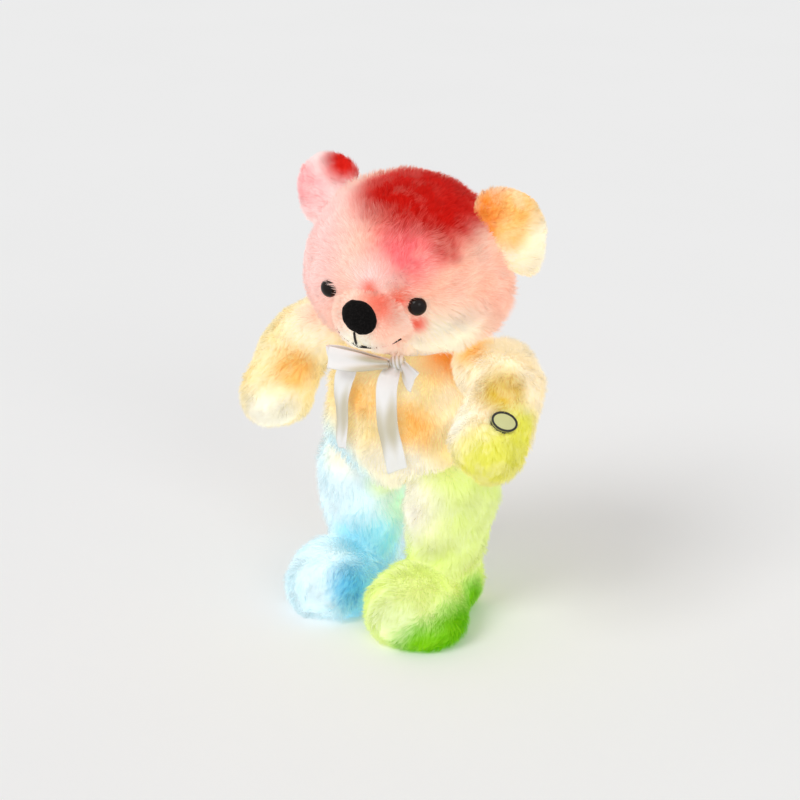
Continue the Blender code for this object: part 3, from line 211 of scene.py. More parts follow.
def noise(tree, scale):
    inputs = {"Scale": scale, "Detail": NOISE_DETAIL, "Vector": object_place(tree)}
    return shader_node(tree, "TexNoise", inputs).outputs["Fac"]


def remap(tree, value, low, high, new_low=0.0, new_high=1.0):
    inputs = {"Value": value, "From Min": low, "From Max": high, "To Min": new_low, "To Max": new_high}
    return shader_node(tree, "MapRange", inputs, interpolation_type="SMOOTHSTEP").outputs["Result"]


def combined(tree, operation, a, b):
    return shader_node(tree, "Math", {0: a, 1: b}, operation=operation).outputs["Value"]


def mixed(tree, factor, a, b, blend="MIX"):
    return shader_node(tree, "Mix", {0: factor, 6: a, 7: b}, data_type="RGBA", blend_type=blend).outputs[2]


def bump(tree, shader, height, depth, strength=0.5):
    node = shader_node(tree, "Bump", {"Strength": strength, "Distance": depth, "Height": height})
    feed(shader, {"Normal": node.outputs["Normal"]})


def spot(tree, centre, inner, outer, patchy):
    """A soft round mask about a point, broken up by noise."""
    distance = shader_node(tree, "VectorMath", {0: object_place(tree), 1: centre}, operation="DISTANCE")
    mask = remap(tree, distance.outputs["Value"], inner, outer, 1.0, 0.0)
    if patchy:
        broken = remap(tree, noise(tree, SPOT_GRAIN), 0.5 - patchy / 2, 0.5 + patchy / 4, 1.0 - patchy, 1.0)
        mask = combined(tree, "MULTIPLY", mask, broken)
    return mask


def lit_plush(name, ground, spots, piled=True):
    """Pile or skin with painted light from inside: a ground colour, soft spots of others, painted deeper and
    darker at the hair's root and paler at its tip, painted shade on the bare skin, all given off as a painted
    glow.
    """
    material, tree, shader = new_material(name)
    paler = tuple(value * 0.88 + 0.12 for value in ground)
    surface = mixed(tree, remap(tree, noise(tree, 30.0), 0.35, 0.65), ground, paler)
    for centre, inner, outer, tint, patchy in spots:
        surface = mixed(tree, spot(tree, centre, inner, outer, patchy), surface, tint)
    if piled:
        # Painted light: deeper, darker colour toward the hair's root, paler toward its tip.
        along = attribute(tree, "pile")
        deep = mixed(tree, 1.0, surface, surface, "MULTIPLY")
        surface = mixed(tree, remap(tree, along, 0.0, 0.85, ROOT_DEPTH, 0.0), surface, deep)
        tip = shader_node(tree, "Gamma", {"Gamma": TIP_GAMMA, "Color": surface}).outputs["Color"]
        surface = mixed(tree, remap(tree, along, 0.5, 1.0, 0.0, TIP_PALENESS), surface, tip)
    else:
        # Painted shade: the skin under the pile is darkened.
        surface = mixed(tree, 1.0, surface, BACKING_PAINTED_SHADE, "MULTIPLY")
    # Painted glow: the painted colours are also given off as light.
    feed(shader, {"Base Color": surface, "Emission Color": surface, "Emission Strength": GLOW,
                  "Roughness": 0.85, "Sheen Weight": 0.06, "Specular IOR Level": 0.12})
    return material


def worked(name, tint, roughness, metallic=0.0, grain=400.0, depth=0.00005):
    """A moulded, cast or drawn surface with a fine grain and slight changes of shade."""
    material, tree, shader = new_material(name)
    dark = tuple(value * 0.88 for value in tint)
    rough = remap(tree, noise(tree, grain / 3), 0.2, 0.8, roughness * 0.85, roughness * 1.15)
    feed(shader, {"Base Color": mixed(tree, noise(tree, grain / 8), dark, tint), "Metallic": metallic,
                  "Roughness": rough})
    bump(tree, shader, noise(tree, grain), depth)
    return material


# Mesh helpers

def added(primitive, name, **settings):
    """A new primitive, with nothing else selected."""
    bpy.ops.object.select_all(action="DESELECT")
    primitive(**settings)
    obj = bpy.context.active_object
    obj.name = name
    return obj


def apply(obj, kind, **settings):
    """Adds a modifier and applies it."""
    modifier = obj.modifiers.new(kind.lower(), kind)
    for key, value in settings.items():
        setattr(modifier, key, value)
    bpy.ops.object.select_all(action="DESELECT")
    obj.select_set(True)
    bpy.context.view_layer.objects.active = obj
    bpy.ops.object.modifier_apply(modifier=modifier.name)


def new_object(name, data):
    obj = bpy.data.objects.new(name, data)
    bpy.context.scene.collection.objects.link(obj)
    return obj


def copy_of(node, name):
    """A merged copy of a CAD solid, as a new object."""
    mesh = frame["nodes"][node].data.copy()
    mesh.materials.clear()
    merge(mesh, 0.00001)
    return new_object(name, mesh)


def merge(mesh, distance):
    form = bmesh.new()
    form.from_mesh(mesh)
    bmesh.ops.remove_doubles(form, verts=form.verts, dist=distance)
    form.to_mesh(mesh)
    form.free()


def finish_piece(obj, material, node, stands_in=True):
    """Gives a piece its material, and the body of the node that it stands in for or adds to."""
    obj.data.materials.clear()
    obj.data.materials.append(material)
    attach(obj, BODY_OF[node])
    if stands_in:
        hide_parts(node)


def arrays(mesh):
    """A mesh's places and normals, one row for each vertex."""
    both = np.zeros((2, len(mesh.vertices) * 3), np.float32)
    mesh.vertices.foreach_get("co", both[0])
    mesh.vertices.foreach_get("normal", both[1])
    return both.reshape(2, -1, 3).astype(float)


def set_places(mesh, places):
    mesh.vertices.foreach_set("co", places.astype(np.float32).ravel())
    mesh.update()


def unit(vectors):
    return vectors / np.maximum(np.linalg.norm(vectors, axis=-1, keepdims=True), 1e-9)


def waves(points, wavelength, seed):
    """Smooth vector noise between about -1 and 1, from a few sines in random directions."""
    rng = np.random.default_rng(seed)
    total = np.zeros_like(points)
    for _ in range(7):
        way = unit(rng.normal(size=3)) * math.tau / wavelength * rng.uniform(0.6, 1.5)
        phase = rng.uniform(0, math.tau, 3)
        total += np.sin((points @ way)[:, None] + phase)
    return total / 2.6


# Soft skins

SOFT_FORMS = ("torso", "head", "muzzle", "left_ear", "right_ear", "left_arm", "right_arm", "left_leg",
              "right_leg")
SKINS = {}

# Where the stuffing stands fuller than the solid: offset from the form's middle, reach and pull, in millimetres

FULLNESS = {
    "left_ear": (((20, 6, -28), 36, (6, 4, -15)),),
    "right_ear": (((10, 2, 26), 36, (8, 5, -1)),),
    "torso": (((-60, -40, -34), 52, (-6, -4, 0)),),
    "right_leg": (((-30, -6, 18), 66, (-7, -5, 0)), ((32, 6, -16), 42, (5, 0, 0))),
    "left_leg": (((46, -38, -96), 46, (13, -10, 0)), ((48, -12, -86), 36, (8, 5, 0)),
                 ((-36, 6, -16), 42, (-4, 0, 0))),
}
MILLIMETRE = 0.001
SMALL_SKINS = ("left_ear", "right_ear", "muzzle")
SWELL = 0.0010
SWELL_LENGTH = 0.055
SKIN_SINK = 0.0006
SOLE_HEIGHT = 0.036
SOLE_SPREAD = 0.009


def falloff(places, node, offset, reach):
    """1 at an offset from a form's middle, easing to 0 at its reach, both in millimetres."""
    centre = np.array(middle(node)) + np.array(offset) * MILLIMETRE
    near = np.clip(1.0 - np.linalg.norm(places - centre, axis=1) / (reach * MILLIMETRE), 0.0, 1.0)
    return near * near * (3 - 2 * near)


class NIGHTLIGHT_OT_skins(bpy.types.Operator):
    """Make the stuffed skin of each soft form from its solid"""
    bl_idname = "nightlight.skins"
    bl_label = "Skins"

    def execute(self, context):
        for index, node in enumerate(SOFT_FORMS):
            skin = copy_of(node, node + "_skin")
            fine = 0.6 if node in SMALL_SKINS else 1.0
            apply(skin, "REMESH", mode="VOXEL", voxel_size=sizes().voxel * fine, use_smooth_shade=True)
            apply(skin, "SMOOTH", factor=0.5, iterations=4)
            places, normals = arrays(skin.data)
            places += normals * (waves(places, SWELL_LENGTH, 40 + index)[:, :1] * SWELL - SKIN_SINK)
            for offset, reach, pull in FULLNESS.get(node, ()):
                places += falloff(places, node, offset, reach)[:, None] * np.array(pull) * MILLIMETRE
            if node.endswith("_leg"):
                low = np.clip(1.0 - places[:, 2] / SOLE_HEIGHT, 0.0, 1.0) ** 1.4
                low *= np.clip((middle(node).y - places[:, 1]) / SOLE_HEIGHT, 0.0, 1.0)
                outward = normals[:, :2] / np.maximum(np.linalg.norm(normals[:, :2], axis=1), 0.35)[:, None]
                places[:, :2] += outward * low[:, None] * SOLE_SPREAD
            places[:, 2] = np.maximum(places[:, 2], 0.0)
            set_places(skin.data, places)
            finish_piece(skin, painted_skin_light(node), node)
            SKINS[node] = skin
        return {"FINISHED"}


# Colours of the lit forms

# Where each form is lit in another colour: offset from its middle, inner and outer reach, in millimetres, the
# colour, and how broken its edge is. The first name is the form's ground colour. All are painted light of the
# lamps inside, on pile that is white.

LIT_ZONES = {
    "head": ("peach", (
        ((-60, -55, 15), 30, 95, "blush", 0.0), ((70, -38, -62), 18, 66, "pearl", 0.2),
        ((46, -68, 32), 8, 50, "pink", 0.3), ((20, -84, 6), 8, 34, "blush", 0.2),
        ((74, -40, 32), 0, 24, "red", 0.6), ((24, -18, 76), 36, 74, "red", 0.1),
        ((62, -18, 56), 10, 44, "red", 0.2), ((52, 24, 66), 20, 50, "red", 0.1),
        ((47, -76, -12), 2, 18, "coral", 0.4), ((20, -88, -6), 0, 16, "coral", 0.5),
        ((58, -66, -38), 0, 16, "coral", 0.6))),
    "muzzle": ("peach", (
        ((0, -20, -22), 10, 34, "pearl", 0.1), ((20, -10, 22), 2, 30, "coral", 0.3))),
    "left_ear": ("ivory", (
        ((-8, -13, 22), 8, 34, "orange", 0.3), ((-10, -15, 0), 4, 20, "orange", 0.5),
        ((16, 0, 22), 6, 32, "amber", 0.5), ((8, -4, -2), 4, 24, "amber", 0.4))),
    "right_ear": ("blush", (((-22, -4, 8), 0, 40, "pink", 0.8), ((20, 0, 38), 8, 34, "red", 0.2))),
    "torso": ("cream", (
        ((54, -14, 66), 0, 42, "orange", 0.2), ((40, -60, 0), 10, 40, "amber", 0.85),
        ((-12, -62, 22), 6, 30, "amber", 0.7), ((74, -30, 24), 10, 34, "ivory", 0.1),
        ((32, -50, -58), 24, 56, "pearl", 0.1), ((-14, -58, -62), 18, 58, "pearl", 0.1),
        ((-56, -44, -28), 8, 40, "pearl", 0.1), ((-58, -42, -70), 28, 64, "sky", 0.0))),
    "right_arm": ("cream", (
        ((18, -4, 56), 18, 54, "ivory", 0.0), ((18, -4, 62), 0, 34, "peach", 0.3),
        ((6, -26, 4), 8, 32, "amber", 0.4), ((-10, -44, -44), 14, 44, "pearl", 0.1))),
    "left_arm": ("ivory", (
        ((-24, 10, 50), 4, 28, "amber", 0.5), ((28, -18, 28), 8, 32, "olive", 0.3),
        ((34, -44, -34), 18, 50, "lemon", 0.25), ((56, -24, -6), 12, 40, "lemon", 0.4),
        ((-8, -40, 0), 8, 30, "pearl", 0.1))),
    "right_leg": ("sky", (
        ((-6, -14, 70), 8, 44, "pearl", 0.1), ((36, 10, 40), 4, 30, "leaf", 0.2),
        ((38, 20, 6), 8, 28, "mint", 0.1), ((20, 2, -34), 16, 50, "blue", 0.15),
        ((44, -40, -66), 20, 46, "blue", 0.1), ((36, -54, -54), 4, 34, "azure", 0.1))),
    "left_leg": ("lime", (
        ((-30, -20, 30), 20, 70, "pearl", 0.1), ((6, -84, -66), 14, 46, "leaf", 0.2),
        ((50, -34, -92), 26, 54, "green", 0.05), ((28, -58, -88), 14, 40, "green", 0.1),
        ((40, 20, -88), 20, 52, "green", 0.1))),
}


def lit_zones(node):
    """Ground colour and the soft spots of one form, as (centre, inner, outer, colour, patchiness)."""
    ground, spots = LIT_ZONES[node]
    centre = middle(node)
    return tuple(getattr(shades(), ground)), [
        (tuple(centre + Vector(offset) * MILLIMETRE), inner * MILLIMETRE, outer * MILLIMETRE,
         tuple(getattr(shades(), tint)), patchy) for offset, inner, outer, tint, patchy in spots]


# Materials of painted light: the lamps' glow on the pile and skin, and painted shade on the skin.
def painted_skin_light(node):
    return lit_plush(node + "_backing", *lit_zones(node), piled=False)


def painted_pile_light(node):
    return bpy.data.materials.get(node + "_pile") or lit_plush(node + "_pile", *lit_zones(node))


# Long pile

TUFT_SPACING = 0.0060
PILE_COUNTS = {
    "head": 110000, "torso": 66000, "muzzle": 22000, "left_ear": 24000, "right_ear": 24000,
    "left_arm": 46000, "right_arm": 42000, "left_leg": 60000, "right_leg": 60000,
}
NEIGHBOURS = {
    "torso": ("head", "left_arm", "right_arm", "left_leg", "right_leg"), "muzzle": ("nose",),
    "left_ear": ("head",), "right_ear": ("head",),
}


def tree_of(obj):
    mesh = obj.data
    return BVHTree.FromPolygons([vertex.co for vertex in mesh.vertices],
                                [tuple(polygon.vertices) for polygon in mesh.polygons])


def comb_way(node, places, normals):
    """The way the pile is brushed at each point of a skin."""
    if node in ("head", "muzzle"):
        way = unit(places - np.array(NOSE)) + np.array((0.0, 0.15, -0.35))
    elif node.endswith("_ear"):
        way = unit(places - np.array(HEAD))
    elif node == "torso":
        way = np.tile((0.0, 0.0, -1.0), (len(places), 1)) + unit(places * (1, 1, 0)) * 0.1
    elif node.endswith("_arm"):
        low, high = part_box(node)
        side = 1 if node.startswith("left") else -1
        paw = np.array(((low[0] + high[0]) / 2 + side * 0.02, low[1], low[2]))
        way = unit(paw - places) + unit(places - np.array(JOINT_PLACES[node + "_swing"])) * 0.6
    else:
        toe = np.clip((0.075 - places[:, 2:3]) / 0.04, 0.0, 1.0)
        way = np.array((0.0, 0.0, -1.0)) * (1 - toe) + np.array((0.0, -1.0, -0.35)) * toe
    way = way - normals * np.sum(way * normals, axis=1, keepdims=True)
    return unit(way)


# Where the pile lies shorter: offset from the form's middle and reach, in millimetres, and the share left

SHORT_PILE = {
    "head": (((-78, -45, -10), 95, 0.35), ((15, 10, 90), 90, 0.5)),
    "right_arm": (((-12, -8, 42), 60, 0.3),),
    "left_arm": (((52, 0, 20), 50, 0.6),),
    "left_ear": (((14, 0, 34), 50, 0.55),),
    "left_leg": (((50, 20, -40), 60, 0.5), ((44, 34, -84), 56, 0.3)),
}
LEAST_PILE = {"head": 0.62, "torso": 0.36}
PIECE_REACH = 0.020         # how far a neighbour or a ribbon shortens the pile
MUZZLE_REACH = 0.010        # how far the muzzle shortens the head's pile
STITCH_REACH = 0.006        # how far the mouth's thread does
SMILE_END = 0.022           # where the smile's left end starts, sideways from the nose
PANEL_MARGIN = 0.002        # bald edge round the back panel
BACK_FROM = 0.05            # how far back the torso's back starts
FOLD_DEPTH = 0.03           # a skin that faces itself this close grows no pile
PATCH_DEPTH = 0.015         # how deep the press patch clears the pile
THREAD_REACH = 0.006        # half width of the mouth's centre line
THREAD_BALD = 0.0015        # how near the thread the muzzle's pile is at its shortest
THREAD_FADE = 0.0045        # and over what distance it grows to its full length
FULL_GAP = 0.014            # gap to a neighbour at which the pile has its full length
BOW_GAP = 0.010             # gap to the bow up to which the pile stays at its shortest
NOSE_GROWTH = 0.020         # step away from the nose that makes the muzzle's pile one length longer
LEAST_SHARE = 0.16
LEAST_AT_BOW = 0.30
LEAST_AT_EYE = 0.12
LEAST_AT_THREAD = 0.15
FULLEST_MUZZLE = 2.1


def eye_clearings():
    """Where the pile leaves the eyes open: point, bald reach and full reach."""
    return [(outer_pole("left_eye"), 0.0086, 0.0190),
            (outer_pole("right_eye") + Vector((0.001, 0.0, 0.003)), 0.0024, 0.0075)]


def patch_distance(points):
    """How far points lie from the press patch's middle, with its oval edge at 1."""
    half_long, half_wide, _, turn, centre = own_axes("press_patch", PRESS_AXIS)
    local = (points - np.array(centre)) @ np.array(turn.to_3x3())
    return np.sqrt((local[:, 0] / half_long) ** 2 + (local[:, 1] / half_wide) ** 2
                   + (local[:, 2] / PATCH_DEPTH) ** 2)


def outer_pole(node):
    return max(poles(node), key=lambda point: (point - HEAD).length)


def pile_lengths(node, places, normals):
    """Pile length at each skin vertex, as a share, and which vertices grow any."""
    share = np.ones(len(places))
    grows = np.ones(len(places))
    trees = [tree_of(frame["nodes"][other]) for other in NEIGHBOURS.get(node, ("torso",))]
    own = tree_of(SKINS[node])
    if node == "torso":
        low, high = (np.array(corner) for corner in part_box("back_panel"))
        inside = (places > low - PANEL_MARGIN) & (places < high + PANEL_MARGIN)
        grows[inside[:, 0] & inside[:, 2] & (places[:, 1] > BACK_FROM)] = 0.0
    spots = eye_clearings()
    if node == "left_arm":
        patch = patch_distance(places)
        share = np.clip((patch - 0.9) / 0.9, 0.35, 1.0)
        grows[patch < 1.06] = 0.0
    stitch = tree_of(frame["nodes"]["mouth_stitch"])
    ribbons = [tree_of(obj) for obj in RIBBONS] if node == "torso" else []
    muzzle = tree_of(frame["nodes"]["muzzle"])
    for index, place in enumerate(places):
        point = Vector(place)
        normal = Vector(normals[index])
        limits = [share[index]]
        for tree in trees:
            gap = tree.find_nearest(point, PIECE_REACH)[3]
            if gap is not None:
                limits.append(max(LEAST_PILE.get(node, LEAST_SHARE), gap / FULL_GAP))
        if node == "head":
            foot, facing, _, gap = muzzle.find_nearest(point, MUZZLE_REACH)
            if foot is not None:
                limits.append(0.45 + 55 * gap)
                if (point - foot).dot(facing) < 0:
                    grows[index] = 0.0
        if node in ("torso", "head") and own.ray_cast(point + normal * 0.001, normal, FOLD_DEPTH)[0]:
            grows[index] = 0.0
        for tree in ribbons:
            gap = tree.find_nearest(point, PIECE_REACH)[3]
            if gap is not None:
                limits.append(LEAST_AT_BOW + max(0.0, (gap - BOW_GAP) / BOW_GAP))
        for centre, bald, full in spots:
            reach = (point - centre).length
            if reach < full:
                limits.append(max(LEAST_AT_EYE, (reach - bald) / (full - bald)))
            if reach < bald:
                grows[index] = 0.0
        share[index] = min(limits)
        if node == "muzzle":
            share[index] *= min(FULLEST_MUZZLE, max(1.0, (point - NOSE).length / NOSE_GROWTH - 0.1))
            gap = stitch.find_nearest(point, STITCH_REACH)[3]
            if gap is not None and (abs(point.x - NOSE.x) < THREAD_REACH or point.x > NOSE.x + SMILE_END):
                share[index] = min(share[index], max(LEAST_AT_THREAD, (gap - THREAD_BALD) / THREAD_FADE))
    for offset, reach, left in SHORT_PILE.get(node, ()):
        share *= 1.0 - falloff(places, node, offset, reach) * (1.0 - left)
    return share, grows


# How the hair stands, lies and bends. Each spread is of a random draw.

LENGTH_SPREAD = (0.70, 1.12)
WIDTH_SPREAD = (0.7, 1.2)
LIFT = 0.58
LIFT_WAVE = 0.12
LIFT_SPREAD = 0.10
LIFT_LIMITS = (0.30, 0.95)
LAY = 0.80
LONG_SWAY = 0.45
SHORT_SWAY = 0.20
SWAY_SPREAD = 0.20
BEND_AT = 0.52
BEND_RISE = 0.11
BEND_WIDTH = 0.75
TURN_SPREAD = 0.35
FLOOR_GAP = 0.0002


def grow_pile(node, count, length, name):
    """Hairs as tapered blades over one skin: three triangles each, brushed, tufted and softly shaded."""
    skin = SKINS[node]
    rng = np.random.default_rng(sizes().seed + len(name) * 7 + SOFT_FORMS.index(node))
    places, normals = arrays(skin.data)
    share, grows = pile_lengths(node, places, normals)
    combs = comb_way(node, places, normals)
    skin.data.calc_loop_triangles()
    corners = np.zeros(len(skin.data.loop_triangles) * 3, np.int32)
    skin.data.loop_triangles.foreach_get("vertices", corners)
    corners = corners.reshape(-1, 3)
    corners = corners[grows[corners].min(axis=1) > 0.5]
    a, b, c = (places[corners[:, k]] for k in range(3))
    areas = np.linalg.norm(np.cross(b - a, c - a), axis=1)
    picks = rng.choice(len(corners), size=count, p=areas / areas.sum())
    u, v = rng.random((2, count))
    fold = u + v > 1
    u[fold], v[fold] = 1 - u[fold], 1 - v[fold]
    weights = np.stack((1 - u - v, u, v), axis=1)

    def blended(values):
        return np.einsum("ij,ij...->i...", weights, values[corners[picks]])

    root = blended(places)
    normal = unit(blended(normals))
    comb = blended(combs)
    size = length * blended(share) * longer(node, root) * rng.uniform(*LENGTH_SPREAD, count)
    lift = LIFT + LIFT_WAVE * waves(root, 0.035, 5)[:, 0] + rng.normal(0, LIFT_SPREAD, count)
    sway = waves(root, 0.030, 6) * LONG_SWAY + waves(root, 0.010, 7) * SHORT_SWAY
    sway += rng.normal(0, SWAY_SPREAD, (count, 3))
    way = unit(normal * np.clip(lift, *LIFT_LIMITS)[:, None] + unit(comb + sway) * LAY)
    tip = gathered(root, root + way * size[:, None], rng)
    body = tip - root
    bend = root + body * BEND_AT + normal * (size * BEND_RISE)[:, None]
    across = unit(np.cross(body, normal) + rng.normal(0, TURN_SPREAD, (count, 3)) * size[:, None])
    across *= np.where(np.sum(np.cross(across, body) * normal, axis=1) < 0, -1.0, 1.0)[:, None]
    half = across * (sizes().hair / 2 * rng.uniform(*WIDTH_SPREAD, count))[:, None]
    points = np.stack((root - half, root + half, bend - half * BEND_WIDTH, bend + half * BEND_WIDTH, tip), axis=1)
    points[:, :, 2] = np.maximum(points[:, :, 2], FLOOR_GAP)
    obj = blades_object(name, points)
    along = np.tile(np.array((0.0, 0.0, 0.55, 0.55, 1.0), np.float32), count)
    obj.data.attributes.new("pile", "FLOAT", "POINT").data.foreach_set("value", along)
    shade = unit(np.repeat(normal, 5, axis=0) + unit(np.repeat(body, 5, axis=0)) * 0.25)
    obj.data.normals_split_custom_set_from_vertices(shade)
    finish_piece(obj, painted_pile_light(node), node, False)


def longer(node, root):
    """Fuller pile where the left cheek stands out."""
    if node != "head":
        return np.ones(len(root))
    local = (root - np.array(HEAD)) / 0.1
    side = np.clip(local[:, 0] - 0.35, 0, 1) * np.exp(-((local[:, 2] + 0.42) / 0.35) ** 2)
    return 1.0 + 1.1 * side


def gathered(root, tip, rng):
    """Tips drawn together into tufts."""
    count = len(root)
    extent = root.max(axis=0) - root.min(axis=0)
    tufts = max(8, int(2.2 * (extent[0] * extent[1] + extent[1] * extent[2] + extent[2] * extent[0])
                       / TUFT_SPACING ** 2))
    leaders = rng.choice(count, size=min(tufts, count), replace=False)
    tree = KDTree(len(leaders))
    for index, leader in enumerate(leaders):
        tree.insert(root[leader], index)
    tree.balance()
    nearest = leaders[[tree.find(place)[1] for place in root]]
    pull = (0.28 + 0.22 * waves(root, 0.02, 8)[:, 0]).clip(0.0, 0.65) * rng.uniform(0.5, 1.2, count)
    return tip + (tip[nearest] - tip) * pull[:, None]


def blades_object(name, points):
    count = len(points)
    mesh = bpy.data.meshes.new(name)
    mesh.vertices.add(count * 5)
    mesh.vertices.foreach_set("co", points.astype(np.float32).ravel())
    mesh.loops.add(count * 7)
    mesh.polygons.add(count * 2)
    pattern = np.array((0, 1, 3, 2, 2, 3, 4), np.int32)
    loops = (np.arange(count, dtype=np.int32)[:, None] * 5 + pattern).ravel()
    mesh.loops.foreach_set("vertex_index", loops)
    starts = (np.arange(count, dtype=np.int32)[:, None] * 7 + np.array((0, 4), np.int32)).ravel()
    mesh.polygons.foreach_set("loop_start", starts)
    mesh.update(calc_edges=True)
    mesh.shade_smooth()
    return new_object(name, mesh)


class NIGHTLIGHT_OT_pile(bpy.types.Operator):
    """Grow the pile on every skin"""
    bl_idname = "nightlight.pile"
    bl_label = "Pile"

    def execute(self, context):
        for node, count in PILE_COUNTS.items():
            length = sizes().short_pile if node == "muzzle" else sizes().pile
            if node.endswith("_ear"):
                length *= 0.8
            pieces = 2 if count > 62000 else 1
            for number in range(pieces):
                name = node + "_pile" + ("_" + str(number + 1) if pieces > 1 else "")
                grow_pile(node, count // pieces, length, name)
        return {"FINISHED"}


# Ribbon

RIBBONS = []

# Each strip's course: angle round the neck from straight ahead, distance out, height, width and lean, in
# degrees and millimetres. A lean of 0 stands the strip on edge, as in a loop, and 90 lays its width level. A
# loop's distance is from the neck's axis, and a tail's from the chest. A last angle turns a tail's outer edge
# away from the chest.

LOOPS = {
    "right_loop": ((15, 66, 280, 9, 0), (5, 69.5, 279.5, 13, -2), (-8, 76.5, 279.5, 19.5, -6),
                   (-18, 85, 280, 21.5, -12), (-24.5, 91, 280.5, 21.5, -16), (-26.5, 92, 280.6, 21.5, -17),
                   (-26.5, 88, 280.8, 21.5, -16), (-20, 78.5, 281.5, 20, -12), (-8, 70, 282, 15, -4),
                   (5, 64, 281.5, 10, 0), (15, 62.5, 280.5, 8, 0)),
    "left_loop": ((27, 65, 279, 13, 0), (29.5, 69, 277, 18, 4), (32.5, 73.5, 273, 20.5, 8),
                  (35.5, 77, 269, 21.5, 11), (36.5, 77, 268, 21.5, 12), (36.5, 73.5, 268, 21.5, 12),
                  (34, 69.5, 271, 19.5, 8), (30.5, 65.5, 275.5, 14, 3), (28, 63.5, 279, 9, 0)),
}
TAILS = {
    "left_tail": ((20, 8.5, 276.5, 12, 90), (17, 9.5, 269.5, 19.5, 90), (15.5, 8.5, 258, 21.5, 88),
                  (16, 7, 240, 21.5, 86), (17.5, 7.2, 220, 21.5, 88), (20, 6, 200, 21.5, 92),
                  (22.5, 6.8, 183, 21.5, 94), (24.5, 7.5, 166.5, 21.5, 95)),
    "right_tail": ((-21, 20, 279, 15, 80, -30), (-22.5, 16, 271, 19.5, 88, -32),
                   (-24, 12.5, 258, 21.5, 94, -28), (-25, 10, 240, 21.5, 94, -16),
                   (-25.5, 8.5, 220, 21.5, 92, -8), (-26, 7.5, 200, 21.5, 90, -4),
                   (-26.5, 7.5, 176, 21.5, 90, -2)),
}
# Where along each strip the painted highlight band is brightest, in metres from its start.
SHINE = {"right_loop": 0.055, "left_loop": 0.026, "left_tail": 0.018, "right_tail": 0.018, "ribbon_band": 0.018}
FOLDS_ACROSS = 1.5
FOLDS_ALONG = 22
# How closely the painted highlight bands follow one another.
SHINE_ALONG = 68
# Colour of the painted shade in the satin's folds, as a share of the satin's own colour.
SATIN_PAINTED_SHADE = (0.68, 0.62, 0.46)
FOLD_HEIGHT = 0.0012
KNOT_FOLD = 0.0006
KNOT_REACH = 0.009
STRIP_STEPS = 6
STRIP_COLUMNS = 10
END_SLANT = 0.36
CHEST_REACH = 0.3


def ribbon_piece(line, ways, widths, node, flat, slant=0.0):
    """A satin strip along a line of points, each with its own way across, pleated where it is gathered, with
    painted shade in the pleats and a painted highlight band along it.
    """
    rows = []
    folds = []
    full = max(widths)
    travelled = 0.0
    for index, (point, way, width) in enumerate(zip(line, ways, widths)):
        before = line[max(index - 1, 0)]
        after = line[min(index + 1, len(line) - 1)]
        travelled += (point - before).length
        ahead = (after - before).normalized()
        face_way = ahead.cross(way)
        gather = 0.35 + 2.2 * (1.0 - width / full)
        cut = slant * max(0.0, 1.0 - (len(line) - 1 - index) / 5.0)
        row = []
        for column in range(STRIP_COLUMNS + 1):
            share = column / STRIP_COLUMNS - 0.5
            wave = math.cos(share * math.tau * FOLDS_ACROSS + travelled * FOLDS_ALONG)
            # Painted shade and light following the pleats, and a painted highlight band along the strip.
            folds.append(0.52 + 0.30 * wave * min(gather, 1.0)
                         + 0.30 * math.cos((travelled - SHINE[node]) * SHINE_ALONG + share))
            row.append(point + way * width * share + face_way * wave * gather * FOLD_HEIGHT
                       - ahead * cut * width * (share + 0.5))
        rows.append(row)
    mesh = bpy.data.meshes.new(node + "_satin")
    places = np.array(rows).reshape(-1, 3)
    across = STRIP_COLUMNS + 1
    faces = [(row * across + column, row * across + column + 1, (row + 1) * across + column + 1,
              (row + 1) * across + column)
             for row in range(len(rows) - 1) for column in range(STRIP_COLUMNS)]
    mesh.from_pydata([tuple(place) for place in places], [], faces)
    mesh.attributes.new("fold", "FLOAT", "POINT").data.foreach_set("value", folds)
    index = np.arange(len(places))
    lay_flat(mesh, index % across / STRIP_COLUMNS * flat[0], index // across / (len(rows) - 1) * flat[1])
    obj = new_object(node + "_satin", mesh)
    apply(obj, "SUBSURF", levels=1, render_levels=1)
    apply(obj, "SOLIDIFY", thickness=0.0004, offset=0.0)
    obj.data.shade_smooth()
    finish_piece(obj, satin_finish(), node)
    RIBBONS.append(obj)
    return obj


def lay_flat(mesh, across, along):
    """A cloth layer from each vertex's place on the flat piece."""
    loops = np.zeros(len(mesh.loops), np.int32)
    mesh.loops.foreach_get("vertex_index", loops)
    flat_places = np.stack((across, along), axis=1)[loops].astype(np.float32)
    mesh.uv_layers.new(name="cloth").data.foreach_set("uv", flat_places.ravel())


def satin_finish():
    if "satin_weave" in bpy.data.materials:
        return bpy.data.materials["satin_weave"]
    material, tree, shader = new_material("satin_weave")
    inputs = {"Scale": 900.0, "Distortion": 0.6, "Vector": cloth_place(tree)}
    threads = shader_node(tree, "TexWave", inputs).outputs["Fac"]
    tint = tuple(shades().satin)
    shade = tuple(value * part for value, part in zip(tint, SATIN_PAINTED_SHADE))
    # Painted shade and highlight: the fold attribute darkens the satin toward the painted shade.
    shaded = mixed(tree, remap(tree, attribute(tree, "fold"), 0.15, 0.75), shade, tint)
    woven = mixed(tree, threads, mixed(tree, 1.0, shaded, (0.95, 0.95, 0.95), "MULTIPLY"), shaded)
    feed(shader, {"Base Color": woven, "Roughness": 0.30, "Sheen Weight": 0.2, "Specular IOR Level": 0.7})
    bump(tree, shader, threads, 0.00004, 0.4)
    return material


